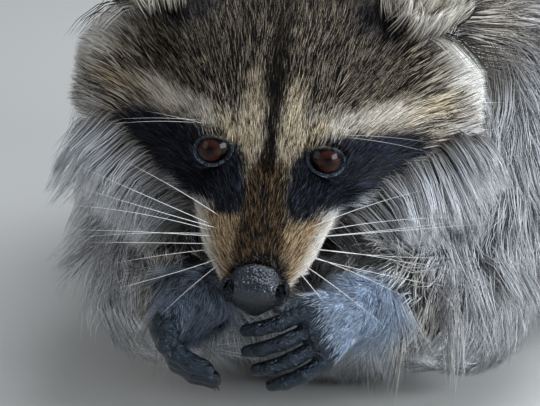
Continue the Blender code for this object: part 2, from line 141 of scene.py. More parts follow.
def triangles_of(mesh):
    mesh.calc_loop_triangles()
    return stored_in(mesh.loop_triangles, "vertices", np.int32)


def unit(vectors):
    """Rows of directions, each made 1 long."""
    return vectors / np.maximum(np.linalg.norm(vectors, axis=1, keepdims=True), 1e-12)


def direction(vector):
    """A single direction, made 1 long."""
    return vector / np.linalg.norm(vector)


def ease(low, high, value):
    """0 below low, 1 above high, and a smooth step between them. High may be the smaller one."""
    share = np.clip((value - low) / (high - low), 0, 1)
    return share * share * (3 - 2 * share)


def mesh_from(name, work):
    """The mesh that a bmesh holds."""
    mesh = bpy.data.meshes.new(name)
    work.to_mesh(mesh)
    work.free()
    return mesh


def placed(name, data):
    """A new object in the scene, made of a mesh, a lamp or a camera."""
    obj = bpy.data.objects.new(name, data)
    scene.collection.objects.link(obj)
    return obj


def copied_together(name, nodes):
    """Copies of some solids as one object, with the corners of their loose triangles joined up."""
    work = bmesh.new()
    for node in nodes:
        work.from_mesh(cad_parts[node].data)
    bmesh.ops.remove_doubles(work, verts=work.verts, dist=1e-6)
    return placed(name, mesh_from(name, work))


def apply_modifiers(obj):
    bpy.context.view_layer.update()
    graph = bpy.context.evaluated_depsgraph_get()
    mesh = bpy.data.meshes.new_from_object(obj.evaluated_get(graph), depsgraph=graph)
    obj.modifiers.clear()
    obj.data = mesh
    return obj


def melted(obj, voxel, rounds):
    """Melts overlapping and touching forms into one smooth surface."""
    remesh = obj.modifiers.new("melt", "REMESH")
    remesh.mode = "VOXEL"
    remesh.voxel_size = voxel
    smooth = obj.modifiers.new("flow", "SMOOTH")
    smooth.factor = 0.5
    smooth.iterations = rounds
    return apply_modifiers(obj)


def softened(values, edges, rounds):
    """Evens out values that are given at a mesh's points, along its edges."""
    count = len(values)
    ends = np.concatenate([edges, edges[:, ::-1]])
    degree = np.maximum(np.bincount(ends[:, 0], minlength=count), 1)
    columns = [values] if values.ndim == 1 else list(values.T)

    def eased(column):
        around = np.bincount(ends[:, 0], weights=column[ends[:, 1]], minlength=count)
        return 0.4 * column + 0.6 * around / degree

    for _ in range(rounds):
        columns = [eased(column) for column in columns]
    return columns[0] if values.ndim == 1 else np.stack(columns, axis=1)


def seam_between(node, other):
    """The middle of the seam between two solids."""
    first = points_of(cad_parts[node].data)
    second = points_of(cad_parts[other].data)
    gaps = np.linalg.norm(first[:, None] - second[None], axis=2).min(axis=1)
    return first[gaps < max(gaps.min() * 1.5, 0.6 * MM)].mean(axis=0)


form = melted(copied_together("coat_form", FLESH), FORM_VOXEL, 3)
form_points = points_of(form.data)
form_normals = normals_of(form.data)
form_edges = np.array([edge.vertices for edge in form.data.edges])
form_triangles = triangles_of(form.data)
form_tree = BVHTree.FromPolygons(form_points.tolist(), form_triangles.tolist())
bpy.data.objects.remove(form)

# which solid each point of the form came from
solid_points = []
solid_triangles = []
solid_owner = []
for node in FLESH:
    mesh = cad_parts[node].data
    solid_triangles.append(triangles_of(mesh) + sum(len(points) for points in solid_points))
    solid_points.append(points_of(mesh))
    solid_owner += [node] * len(solid_triangles[-1])
solid_tree = BVHTree.FromPolygons(
    np.concatenate(solid_points).tolist(), np.concatenate(solid_triangles).tolist()
)
form_owner = [solid_owner[solid_tree.find_nearest(point)[2]] for point in form_points]

DOWN = np.array([0.0, 0.0, -1.0])
spine = np.array(middle_of("rump") - middle_of("neck"))
spine[2] = 0
spine = direction(spine)
TAIL_PARTS = ("rump", "tail_base", "tail_middle", "tail_tip")
tail_seams = [seam_between(*pair) for pair in zip(TAIL_PARTS, TAIL_PARTS[1:])]
tail_path = np.array(tail_seams + [middle_of("tail_tip")])
# where the wrists are, from the point between the eyes, in metres along the model's axes
WRIST_PLACE = {"left": (0.0310, -0.0200, -0.0622), "right": (-0.0280, -0.0100, -0.0605)}
WRIST_SHORT = 19 * MM  # the wrist's short grey fur reaches this far from the wrist
SLEEVE = 38 * MM  # from here on the forearm is under the body's long coat
CUFF_COAT = (2.0, 8.0)  # millimetres: the depth and the length of the wrist's fur
limb_way = {}  # which way the fur runs down each part of a limb
wrists = {}
for side in ("left", "right"):
    shoulder = np.array(middle_of("upper_arm_" + side))
    elbow = seam_between("upper_arm_" + side, "forearm_" + side)
    wrist = np.array(eyes_at) + WRIST_PLACE[side]
    fingers = np.array(middle_of("hand_" + side))
    wrists[side] = wrist
    limb_way["upper_arm_" + side] = elbow - shoulder + 0.02 * DOWN
    limb_way["forearm_" + side] = wrist - elbow
    limb_way["hand_" + side] = fingers - wrist
    limb_way["thigh_" + side] = 0.05 * DOWN - 0.02 * spine
    limb_way["shank_" + side] = 0.05 * DOWN + 0.03 * spine
    limb_way["foot_" + side] = -spine


def from_wrists(points):
    """How far points are from the nearer wrist."""
    return np.minimum(*(np.linalg.norm(points - at, axis=1) for at in wrists.values()))


def way_of(node, points, normals):
    """Which way the coat lies at points of one solid, before it is laid flat on the surface."""
    if node.startswith("tail"):
        nearest = np.linalg.norm(points[:, None] - tail_path[None, :-1], axis=2).argmin(axis=1)
        return unit(tail_path[1:] - tail_path[:-1])[nearest]
    if node in limb_way:
        ways = np.broadcast_to(direction(limb_way[node]), points.shape)
        if node.startswith("forearm"):
            sleeve = ease(WRIST_SHORT, SLEEVE, from_wrists(points))[:, None]
            ways = ways * (1 - sleeve) + (DOWN + 0.5 * ways) * sleeve
        return ways
    flank = 1 - np.maximum(normals[:, 2:], 0) ** 2
    hang = {"neck": 0.9, "chest": 0.7, "belly": 0.55, "rump": 0.5}.get(node, 0.8)
    return spine + DOWN * hang * flank


# what the coat does at each point of the form, evened out where one solid meets the next
form_depth = np.zeros(len(form_points))
form_length = np.zeros(len(form_points))
form_way = np.zeros((len(form_points), 3))
form_shares = np.zeros((len(form_points), len(GROUPS)))
for node in FLESH:
    here = np.array([owner == node for owner in form_owner])
    if not here.any():
        continue
    kind = node.replace("_left", "").replace("_right", "")
    form_depth[here], form_length[here] = COAT_DEPTH.get(kind, COAT_DEPTH["neck"])
    if kind == "forearm":
        cuff = ease(SLEEVE, WRIST_SHORT, from_wrists(form_points[here]))
        form_depth[here] += (CUFF_COAT[0] - form_depth[here]) * cuff
        form_length[here] += (CUFF_COAT[1] - form_length[here]) * cuff
    form_way[here] = way_of(node, form_points[here], form_normals[here])
    if group_of(node):
        form_shares[here, GROUPS.index(group_of(node))] = 1
form_depth = softened(form_depth, form_edges, 24) * MM
form_length = softened(form_length, form_edges, 24) * MM
form_way = softened(form_way, form_edges, 30)
form_shares = softened(form_shares, form_edges, 5)


def head_coat(points):
    """Depth and length of the fur of the head, in metres, at points in the head's own axes.

    The fur is short on the face, and deepens to the nape, over the cheeks and under the chin.
    """
    x, y, z = points.T / CM
    x = np.abs(x)
    depth = 1.2 + 3.8 * ease(-1.5, 4.0, y) + 2.5 * ease(4.0, 7.0, y)
    depth += 9.0 * ease(2.8, 6.5, x) + 5.0 * ease(4.5, 7.5, x) * ease(0.5, -2.5, z)
    depth += 5.0 * ease(-1.5, -3.5, z) * ease(-1.0, 3.0, y)
    from_eye = np.sqrt((x - 2.3) ** 2 + (y + 0.05) ** 2 + z**2)
    depth = 1.0 + (depth - 1.0) * ease(0.8, 2.4, from_eye)
    length = 3.4 + 1.75 * depth
    return depth * MM, length * MM


def head_way(points):
    """Which way the fur of the head lies, at points in the head's own axes.

    It fans out from the nose, and turns down over the cheeks.
    """
    x, y, z = points.T / CM
    up = z * math.cos(FACE_SLOPE) + y * math.sin(FACE_SLOPE)
    wide = np.abs(x)
    side = np.where(x < 0, -1.0, 1.0)
    angle = np.arctan2(up + 5.6, wide + 1e-6)
    angle -= math.radians(58) * ease(2.0, 8.0, wide)
    angle -= math.radians(50) * ease(0.3, -2.5, up) * ease(1.8, 4.0, wide)
    ways = np.stack(
        [
            side * np.cos(angle),
            np.sin(angle) * math.sin(FACE_SLOPE) + 0.35,
            np.sin(angle) * math.cos(FACE_SLOPE),
        ],
        axis=1,
    )
    return from_head(ways)


EAR_COAT = (1.4 * MM, 9 * MM)  # the depth and the length of the ears' fur
EAR_WAY = from_head(np.array([[0.15, 0.1, 1.0]]))


def nearest_form(points):
    """The form's nearest points, which way it faces there, and the numbers of its triangles."""
    found = [form_tree.find_nearest(point) for point in points]
    return tuple(np.array([each[part] for each in found]) for part in range(3))


class Lie:
    """What the form says at some points: the nearest outline, and the coat's depth, length and way."""

    def __init__(self, points):
        self.outline, _, numbers = nearest_form(points)
        corners = form_triangles[numbers]
        self.outward = unit(form_normals[corners].mean(axis=1))
        self.shares = form_shares[corners].mean(axis=1)
        local = in_head(points)
        depth, length = head_coat(local)
        head = self.share("head", "muzzle", "jaw", "ear")
        ear = self.share("ear")
        depth += (EAR_COAT[0] - depth) * ear
        length += (EAR_COAT[1] - length) * ear
        self.depth = form_depth[corners].mean(axis=1) * (1 - head) + depth * head
        self.length = form_length[corners].mean(axis=1) * (1 - head) + length * head
        ways = head_way(local) * (1 - ear[:, None]) + EAR_WAY * ear[:, None]
        self.way = unit(form_way[corners].mean(axis=1)) * (1 - head[:, None]) + ways * head[:, None]

    def share(self, *groups):
        """How far each point belongs to some parts of the body, from 0 to 1."""
        return sum(self.shares[:, GROUPS.index(group)] for group in groups)


# ---------------------------------------------------------------- the skin
# One tanned hide from nose to tail, glued over the mount's body, with the lids, ears, hands and soles
# in it. It lies inside the coat's outline by the depth of the fur. The hands are modelled finer.
SKIN_VOXEL = 1.8 * MM
JOINED_VOXEL = 1.4 * MM
SKIN_TRIANGLES = 92000  # before the lids and the hands
DEEP_COAT = 6 * MM  # where the fur is deeper, the hide sinks along the form's even normals


def move(mesh, points):
    """Moves a mesh's points to new places."""
    mesh.vertices.foreach_set("co", points.astype(np.float32).ravel())
    mesh.update()


def sunk(obj):
    """Moves a surface inwards by the depth of the coat."""
    points = points_of(obj.data)
    lie = Lie(points)
    even = ease(0.3 * DEEP_COAT, DEEP_COAT, lie.depth)[:, None]
    outward = unit(normals_of(obj.data) * (1 - even) + lie.outward * even)
    move(obj.data, points - outward * lie.depth[:, None])
    return obj


body_nodes = [name for name in FLESH if not name.startswith("hand")]
body = copied_together("skin", body_nodes + ["eye_left", "eye_right"])
skin = melted(sunk(melted(body, SKIN_VOXEL, 2)), JOINED_VOXEL, 2)


def face_detail(points):
    """1 on the face, hands and feet, where the hide keeps its small shapes, and 0 under long fur."""
    lie = Lie(points)
    return np.maximum(ease(7 * MM, 4 * MM, lie.depth), lie.share("foot"))


plain = skin.vertex_groups.new(name="plain")
detail = face_detail(points_of(skin.data))
LEVELS = 10
for level in range(LEVELS + 1):
    same = np.flatnonzero(np.round(detail * LEVELS) == level)
    plain.add(same.tolist(), 1 - level / LEVELS, "REPLACE")
thin = skin.modifiers.new("thin", "DECIMATE")
thin.ratio = min(1.0, SKIN_TRIANGLES / (2 * len(skin.data.polygons)))
thin.vertex_group = "plain"
apply_modifiers(skin)

# The hands are bare, wrinkled black skin: a palm, a thumb and four long fingers with knuckles and
# tip pads. Their wrists run up inside the cuffs of the forearms.
HAND_VOXEL = 0.55 * MM
HAND_TRIANGLES = 22000
PALM_LENGTH = 21 * MM
FINGER_FAN = 9  # how fast the fingers part, in radians for each metre across the palm
DIGIT_LENGTHS = (12.5, 9.5, 7.5)  # millimetres, from the knuckle to the tip
DIGIT_RADII = (3.7, 3.5, 3.2, 2.6)
THUMB_RADII = (4.0, 3.5, 2.9)
# how far across the palm each finger starts, in millimetres, and how long it is beside the longest
FINGERS = ((11.4, 0.90), (3.8, 1.0), (-3.8, 0.98), (-11.4, 0.86))
# for each hand: the way it points, the side its thumb is on, the turn of its palm, how far each joint
# of the fingers bends, in radians, and how stout it is
HAND_WAYS = {
    "left": ((-0.60, -0.72, -0.32), (-0.3, -0.05, 0.9), 1, (0.50, 0.42, 0.38), 1.0),
    "right": ((-0.74, -0.28, -0.60), (0.1, -0.8, 0.6), -1, (1.35, 0.42, 0.25), 1.22),
}


def hull_of(*balls):
    """The tight skin round some balls, as a mesh. Each ball is a middle, its radii and their turn."""
    work = bmesh.new()
    for middle, radii, turn in balls:
        place = Matrix.Translation(Vector(middle)) @ Matrix(turn.T.tolist()).to_4x4()
        bmesh.ops.create_icosphere(
            work, subdivisions=3, radius=1.0, matrix=place @ Matrix.Diagonal((*radii, 1.0))
        )
    bmesh.ops.convex_hull(work, input=work.verts)
    loose = [vertex for vertex in work.verts if not vertex.link_faces]
    bmesh.ops.delete(work, geom=loose, context="VERTS")
    return mesh_from("hull", work)


def digit_forms(root, along, towards_palm, lengths, bends, radii):
    """The bones, knuckles and tip pad of one digit, which bends step by step towards the palm."""
    forms = []
    at = root
    angle = 0.0
    for step, (length, bend) in enumerate(zip(lengths, bends)):
        angle += bend
        heading = along * math.cos(angle) + towards_palm * math.sin(angle)
        beside = np.cross(along, towards_palm)
        turn = np.array([beside, heading, np.cross(beside, heading)])
        further = at + heading * length
        slim = 0.90 * radii[step]
        waist = at + heading * length * 0.45
        thick = (radii[step] * 1.04, radii[step], radii[step] * 1.10)
        end = (radii[step + 1], radii[step + 1], radii[step + 1] * 1.02)
        forms.append(hull_of((at, thick, turn), (waist, (slim,) * 3, turn)))
        forms.append(hull_of((waist, (slim,) * 3, turn), (further, end, turn)))
        at = further
    pad = at - heading * radii[-1] * 0.9 + np.cross(heading, beside) * -radii[-1] * 0.35
    forms.append(hull_of((pad, (radii[-1], radii[-1] * 1.5, radii[-1] * 0.9), turn)))
    return forms


def joined_up(name, forms):
    """Some meshes as one object."""
    work = bmesh.new()
    for form in forms:
        work.from_mesh(form)
    return placed(name, mesh_from(name, work))


def hand_form(side):
    """One whole hand, melted from its forms."""
    along, thumb_side, sign, bends, bulk = HAND_WAYS[side]
    along = np.array(along) / np.linalg.norm(along)
    thumb_side = direction(np.array(thumb_side) - along * (np.array(thumb_side) @ along))
    to_palm = np.cross(along, thumb_side) * sign
    turn = np.array([thumb_side, along, to_palm])
    wrist = wrists[side]
    heel = (wrist, (11.5 * MM, 12 * MM, 10.5 * MM), turn)
    middle = (wrist + along * 11 * MM, (12.6 * MM, 8 * MM, 8.6 * MM * bulk), turn)
    knuckles = (wrist + along * PALM_LENGTH, (14.2 * MM, 5.0 * MM, 6.0 * MM * bulk), turn)
    forms = [hull_of(heel, middle), hull_of(middle, knuckles)]
    thumb_root = wrist + along * 10 * MM + thumb_side * 10.0 * MM
    thumb_way = direction(along + thumb_side * 0.45)
    thumb_radii = tuple(radius * MM * bulk for radius in THUMB_RADII)
    forms += digit_forms(thumb_root, thumb_way, to_palm, (11 * MM, 8 * MM), (0.35, 0.25), thumb_radii)
    for across_palm, reach in FINGERS:
        root = wrist + along * PALM_LENGTH + thumb_side * across_palm * MM
        fan = direction(along + thumb_side * across_palm * MM * FINGER_FAN)
        lengths = tuple(length * reach * MM for length in DIGIT_LENGTHS)
        radii = tuple(radius * MM * bulk for radius in DIGIT_RADII)
        forms += digit_forms(root, fan, to_palm, lengths, bends, radii)
        # a tendon over the back of the palm
        start = wrist + along * 8 * MM + thumb_side * across_palm * 0.6 * MM
        start = start - to_palm * 7.0 * MM * bulk
        stop = root - to_palm * 2.6 * MM * bulk
        forms.append(hull_of((start, (1.6 * MM,) * 3, turn), (stop, (2.2 * MM,) * 3, turn)))
    return melted(joined_up("hand", forms), HAND_VOXEL, 1)


fine = bmesh.new()
fine.from_mesh(skin.data)
for side in ("left", "right"):
    hand = hand_form(side)
    thin_hand = hand.modifiers.new("thin", "DECIMATE")
    thin_hand.ratio = min(1.0, HAND_TRIANGLES / (2 * len(hand.data.polygons)))
    apply_modifiers(hand)
    fine.from_mesh(hand.data)
    bpy.data.objects.remove(hand)
fine.to_mesh(skin.data)
fine.free()

# The lids are bare dark skin that hugs the eyeball round its opening. The surface is made finer
# there, and each of its points is drawn in under the ball or out to the lid's thickness.
LID_REACH = 13 * MM  # the lids shape the hide this far from an eyeball's middle
LID_THICKNESS = 0.9 * MM
OPENING = (5.2 * MM, 4.25 * MM)  # half-width and half-height between the lids
UNDER_BALL = 1.6 * MM  # inside the opening the hide runs this deep under the eyeball's surface
GAZE_OUT = math.radians(10)
GAZE_UP = math.radians(20)
eye_radius = (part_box("eye_left")[1].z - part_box("eye_left")[0].z) / 2


def eye_axes(side):
    """An eye's middle, its gaze, and the directions across and up its opening."""
    sign = 1 if side == "left" else -1
    gaze = np.array(
        [sign * math.sin(GAZE_OUT), -math.cos(GAZE_OUT) * math.cos(GAZE_UP), math.sin(GAZE_UP)]
    )
    gaze = from_head(direction(gaze))
    wide = from_head(np.array([1.0, 0.0, 0.0]))
    wide = direction(wide - gaze * (wide @ gaze))
    return np.array(middle_of("eye_" + side)), gaze, wide, np.cross(wide, -gaze)


def from_opening(points, side):
    """How far points lie from the middle of an eye's opening: 1 is the edge of the lids."""
    middle, gaze, wide, tall = eye_axes(side)
    local = points - middle
    inner = -1 if side == "left" else 1
    sideways = local @ wide + inner * -0.4 * MM
    upright = local @ tall + 0.4 * MM
    # the opening is pulled out to a corner towards the nose
    corner = 1 + 0.18 * ease(0.2, 1.0, inner * sideways / OPENING[0])
    spread = np.sqrt((sideways / (OPENING[0] * corner)) ** 2 + (upright / OPENING[1]) ** 2)
    return spread, local @ gaze, upright


fine = bmesh.new()
fine.from_mesh(skin.data)
for _ in range(2):
    near = set()
    for side in ("left", "right"):
        middle = Vector(eye_axes(side)[0])
        near |= {v for v in fine.verts if (v.co - middle).length < LID_REACH}
    edges = [edge for edge in fine.edges if edge.verts[0] in near and edge.verts[1] in near]
    bmesh.ops.subdivide_edges(fine, edges=edges, cuts=1, use_grid_fill=True)
bmesh.ops.triangulate(fine, faces=fine.faces[:])
fine.to_mesh(skin.data)
fine.free()

skin_points = points_of(skin.data)
for side in ("left", "right"):
    middle, gaze, wide, tall = eye_axes(side)
    away = skin_points - middle
    reach = np.linalg.norm(away, axis=1)
    spread, forward, upright = from_opening(skin_points, side)
    lid = eye_radius - UNDER_BALL + (UNDER_BALL + LID_THICKNESS) * ease(0.93, 1.08, spread)
    # a low ridge runs round the opening
    lid += 0.5 * MM * ease(1.35, 1.1, spread) * ease(1.0, 1.1, spread)
    share = ease(2.35, 1.45, spread) * ease(-1.0 * MM, 2.0 * MM, forward) * (reach < LID_REACH + MM)
    wanted = reach * (1 - share) + lid * share
    skin_points = middle + away * (wanted / reach)[:, None]
move(skin.data, skin_points)

# The markings of a raccoon: a black mask over the eyes under pale brows, a dark stripe down the
# forehead, white rims to the cheeks, grizzled grey-brown elsewhere, and a ringed tail. The hide and
# every hair take their colours from the same rules.
def linear(red, green, blue):
    """A colour from its 0 to 255 values, as light."""
    return tuple(((value / 255) ** 2.2) for value in (red, green, blue))


BLACK_TIP = linear(24, 21, 20)
# for each kind of fur: the colours of a hair's root, its middle and its pale tip, and the shares of
# hairs that are pale-tipped and black-tipped
FURS = {
    "body": ((50, 43, 37), (94, 85, 76), (206, 201, 194), 0.38, 0.30),
    # silver: pale grey fur, partly painted light, made paler than the fur itself to stand in for light
    # where the head shades it
    "silver": ((118, 110, 102), (184, 186, 190), (246, 248, 252), 0.62, 0.08),
    "grizzled": ((9, 8, 8), (15, 13, 12), (184, 169, 147), 0.17, 0.56),
    "cheek": ((38, 33, 29), (82, 73, 62), (208, 198, 182), 0.40, 0.26),
    "mask": ((8, 8, 11), (14, 15, 20), (66, 72, 92), 0.18, 0.40),
    "stripe": ((7, 6, 6), (12, 10, 9), (84, 70, 54), 0.08, 0.5),
    "cream": ((54, 43, 31), (146, 128, 98), (230, 214, 184), 0.46, 0.28),
    "brow": ((74, 68, 60), (150, 144, 132), (228, 223, 214), 0.50, 0.20),
    "bridge": ((14, 11, 9), (30, 23, 17), (128, 104, 74), 0.24, 0.40),
    "tan": ((66, 52, 38), (142, 116, 84), (206, 182, 146), 0.42, 0.2),
    "lip": ((150, 142, 130), (206, 198, 186), (238, 234, 226), 0.6, 0.04),
    "rim": ((132, 126, 116), (196, 192, 184), (244, 242, 238), 0.60, 0.07),
    # the wrists' grey fur, made paler and bluer than its own grey: partly painted light of the sky
    "forearm": ((120, 134, 154), (164, 182, 208), (216, 230, 246), 0.45, 0.12),
    "paw": ((15, 16, 20), (28, 31, 39), (76, 86, 106), 0.16, 0.3),
    "ear": ((120, 112, 100), (196, 189, 176), (238, 233, 224), 0.6, 0.05),
    "dark_ear": ((13, 12, 12), (22, 21, 21), (84, 80, 76), 0.1, 0.4),
    "dark_ring": ((20, 16, 14), (34, 28, 24), (84, 72, 60), 0.12, 0.4),
    "pale_ring": ((84, 70, 54), (158, 140, 114), (210, 197, 174), 0.4, 0.12),
}
KINDS = list(FURS)
FUR_COLOURS = [np.array([linear(*FURS[kind][part]) for kind in KINDS]) for part in range(3)]
FUR_SHARES = [np.array([FURS[kind][part] for kind in KINDS]) for part in (3, 4)]


def near_stroke(wide, up, stroke, soft):
    """1 on a stroke of the face plan and 0 off it. A stroke is points with half-widths, in cm."""
    best = np.full(len(wide), -1e9)
    for (s0, t0, r0), (s1, t1, r1) in zip(stroke, stroke[1:]):
        length = (s1 - s0) ** 2 + (t1 - t0) ** 2
        along = np.clip(((wide - s0) * (s1 - s0) + (up - t0) * (t1 - t0)) / length, 0, 1)
        gap = np.hypot(wide - s0 - along * (s1 - s0), up - t0 - along * (t1 - t0))
        best = np.maximum(best, r0 + along * (r1 - r0) - gap)
    return ease(-soft, soft, best)


# each of these is a line on the plan of the face: across, up, and the half-width there, in cm
MASK = ((1.55, -2.0, 0.75), (1.95, -0.5, 0.95), (2.7, -0.7, 1.5), (3.6, -0.3, 1.2))
MASK += ((4.6, 0.2, 0.85), (5.6, 0.7, 0.45))
BROW = ((1.2, 0.25, 0.22), (1.9, 1.1, 0.24), (3.0, 1.4, 0.36), (4.2, 1.7, 0.38))
BROW += ((5.4, 2.1, 0.36), (6.4, 2.4, 0.3))
INNER_BROW = ((0.8, -0.5, 0.3), (0.85, 0.6, 0.45), (0.85, 1.8, 0.4), (0.9, 2.8, 0.2))
STRIPE = ((0.0, -0.6, 0.25), (0.0, 1.0, 0.26), (0.0, 3.0, 0.34), (0.0, 6.5, 0.5))
BRIDGE = ((0.0, -5.0, 1.1), (0.0, -3.6, 1.0), (0.0, -1.0, 0.8))
LIP = ((2.75, -2.7, 0.18), (2.5, -3.4, 0.36), (2.05, -4.6, 0.28), (1.45, -5.5, 0.22))
RIM = ((5.5, 6.6, 0.5), (5.9, 5.6, 0.55), (6.9, 4.6, 0.65), (7.8, 3.4, 0.72))
RIM += ((8.15, 2.4, 0.5), (8.1, 1.7, 0.2))
TEMPLE = ((3.4, 5.6, 0.7), (4.3, 5.0, 0.6), (4.5, 6.4, 0.3))
BEHIND_EAR = ((6.7, 7.0, 0.5), (7.0, 6.1, 0.55), (7.4, 5.2, 0.35))
NAPE = ((8.0, 7.5, 1.0), (8.6, 5.6, 1.0), (9.2, 4.0, 0.7))
TAIL_RINGS = 6


def tail_place(points):
    """How far along the tail points lie, from 0 at the rump to 1 at the tip."""
    reach = np.zeros(len(points))
    best = np.full(len(points), 1e9)
    lengths = np.linalg.norm(tail_path[1:] - tail_path[:-1], axis=1)
    for number, (start, end) in enumerate(zip(tail_path, tail_path[1:])):
        along = np.clip((points - start) @ (end - start) / lengths[number] ** 2, 0, 1.6)
        gap = np.linalg.norm(points - start - along[:, None] * (end - start), axis=1)
        reach = np.where(gap < best, lengths[:number].sum() + along * lengths[number], reach)
        best = np.minimum(best, gap)
    return reach / lengths.sum()


def marked(points, outward, lie):
    """How much of each kind of fur grows at points whose hide faces outward."""

    def on(*groups):
        """1 well inside some parts of the body, and 0 off them."""
        return ease(0.3, 0.7, lie.share(*groups))

    def grow(kind, amount):
        """Grows more of one kind of fur, in place of what grew there."""
        weights[:] *= (1 - amount)[:, None]
        weights[:, KINDS.index(kind)] += amount

    weights = np.zeros((len(points), len(KINDS)))
    weights[:, KINDS.index("body")] = 1
    # the front of the neck, chest and arms is silver: partly the breast's pale fur, partly painted light
    # against the head's shade
    in_front = ease(0.04, -0.06, points[:, 1]) * ease(0.175, 0.12, points[:, 2])
    grow("silver", 0.9 * in_front)

    # the tail
    along_tail = tail_place(points)
    ring = 0.5 + 0.5 * np.sin(along_tail * TAIL_RINGS * 2 * math.pi + 0.8)
    tail = on("tail")
    grow("pale_ring", tail)
    tip = ease(0.93, 1.0, along_tail)
    grow("dark_ring", tail * np.maximum(ease(0.35, 0.6, ring), tip))

    # the forearms and the paws
    up_arm = from_wrists(points)
    cuff = on("forearm", "hand") * ease(SLEEVE, WRIST_SHORT, up_arm)
    around_cuff = ease(26 * MM, 34 * MM, up_arm) * ease(62 * MM, 46 * MM, up_arm)
    grow("cheek", 0.6 * around_cuff * on("forearm"))
    # the cuffs of the wrists, grey fur that is partly painted light, paler and bluer as if the sky lit
    # it
    grow("forearm", cuff)
    # the right wrist is painted darker, half-way to the paws' colour: painted shade, where the head
    # shadows it
    grow("paw", 0.5 * cuff * (points[:, 0] < eyes_at.x))
    grow("paw", on("foot"))

    # the head: its sides and crown, then the muzzle, the mask and brows, and the ears
    head = on("head", "muzzle", "jaw")
    wide, up = face_plan(points)
    wide = np.abs(wide)
    behind_eyes = in_head(points)[:, 1] / CM
    face = head * ease(12.5, 10.0, behind_eyes)
    grow("cheek", face)
    grow("grizzled", face * ease(6.3, 4.8, wide) * ease(1.2, 2.6, up))
    # silver below the mask and at the cheeks' outer ends, partly painted light where the cheeks lie in
    # shade
    grow("silver", face * ease(0.0, -1.2, up) * ease(2.0, 3.2, wide))
    grow("silver", 0.7 * face * ease(6.4, 7.4, wide) * ease(2.5, 1.0, up))
    grow("silver", face * ease(4.6, 5.8, wide) * ease(0.9, 0.0, up))
    grow("mask", 0.75 * face * near_stroke(wide, up, TEMPLE, 0.5))
    near_head = np.maximum((1 - head) * ease(22, 16, behind_eyes), face)
    grow("cheek", 0.8 * (1 - head) * near_head * near_stroke(wide, up, NAPE, 0.8))
    grow("dark_ear", near_head * near_stroke(wide, up, BEHIND_EAR, 0.3))
    grow("rim", face * near_stroke(wide, up, RIM, 0.30))
    grow("lip", 0.9 * on("jaw"))
    muzzle = face * ease(2.8, 2.4, wide) * ease(-2.3, -2.9, up)
    grow("tan", muzzle * (1 - lie.share("jaw")))
    grow("lip", face * near_stroke(wide, up, LIP, 0.22))
    grow("cream", 0.8 * face * near_stroke(wide, up, INNER_BROW, 0.3))
    bridge = face * near_stroke(wide, up, BRIDGE, 0.22)
    grow("bridge", bridge * ease(1.2, -0.8, up))
    grow("mask", face * near_stroke(wide, up, MASK, 0.14))
    brow = face * near_stroke(wide, up, BROW, 0.16)
    grow("cream", brow)
    grow("brow", 0.8 * brow * ease(1.8, 2.8, wide) * ease(6.6, 4.6, wide))
    stripe = face * near_stroke(wide, up, STRIPE, 0.16)
    grow("stripe", stripe * ease(8.0, 3.0, up))
    grow("stripe", face * ease(-4.1, -4.9, up) * ease(1.5, 1.0, wide))
    ear = ease(0.4, 0.7, lie.share("ear"))
    front = ease(-0.1, 0.3, -outward @ from_head(np.array([0.0, 1.0, 0.0])))
    grow("dark_ear", ear * (1 - front))
    grow("ear", ear * front)
    return weights


def fur_colours(weights):
    """The root, middle and pale-tip colours, and the pale and black shares, of marked points."""
    return [weights @ values for values in FUR_COLOURS + FUR_SHARES]


skin_points = points_of(skin.data)
skin_normals = normals_of(skin.data)
skin_triangles = triangles_of(skin.data)
skin_lie = Lie(skin_points)
skin_roots, skin_middles, _, _, _ = fur_colours(
    marked(skin_lie.outline, skin_normals, Lie(skin_lie.outline))
)
skin_colour = 0.5 * skin_roots + 0.45 * skin_middles
# the hands, feet and lids are bare
bare = np.maximum(skin_lie.share("hand"), 0.6 * skin_lie.share("foot"))
furred_back = ease(PALM_LENGTH + 1 * MM, PALM_LENGTH - 5 * MM, from_wrists(skin_points))
bare *= 1 - furred_back
lid_rim = np.zeros(len(skin_points))
lower_rim_highlight = np.zeros(len(skin_points))
for side in ("left", "right"):
    spread, forward, upright = from_opening(skin_points, side)
    in_front = forward > 0
    lid_rim = np.maximum(lid_rim, ease(1.70, 1.36, spread) * in_front)
    # a pale blue-grey line below each lower lid: a painted highlight, the sky's light on the wet rim
    line = ease(1.43, 1.49, spread) * ease(1.58, 1.52, spread)
    lower_rim_highlight = np.maximum(lower_rim_highlight, line * ease(-0.5 * MM, -2.5 * MM, upright) * in_front)
BARE_COLOUR = np.array(linear(10, 12, 17))
LOWER_RIM_HIGHLIGHT = np.array(linear(84, 88, 100))
skin_colour += (BARE_COLOUR - skin_colour) * np.maximum(bare, lid_rim)[:, None]
skin_colour += (LOWER_RIM_HIGHLIGHT - skin_colour) * lower_rim_highlight[:, None]


def colour_attribute(mesh, colours):
    """Stores a colour for each point of a mesh, as its tint."""
    layer = mesh.color_attributes.new("tint", "FLOAT_COLOR", "POINT")
    opaque = np.concatenate([colours, np.ones((len(colours), 1))], axis=1)
    layer.data.foreach_set("color", opaque.astype(np.float32).ravel())


def value_attribute(mesh, name, values):
    """Stores a value for each point of a mesh."""
    layer = mesh.attributes.new(name, "FLOAT", "POINT")
    layer.data.foreach_set("value", values.astype(np.float32))


def new_material(name, roughness, specular):
    """A Principled material whose colour is still to be linked."""
    material = bpy.data.materials.new(name)
    material.use_nodes = True
    shader = material.node_tree.nodes["Principled BSDF"]
    shader.inputs["Roughness"].default_value = roughness
    shader.inputs["Specular IOR Level"].default_value = specular
    return material, material.node_tree, shader


def added(tree, kind, operation=None, **values):
    """Adds a node, with some of its inputs set. A _ in a keyword is a space in the input's name."""
    node = tree.nodes.new("ShaderNode" + kind)
    if operation:
        node.operation = operation
    for socket, value in values.items():
        node.inputs[socket.replace("_", " ")].default_value = value
    return node


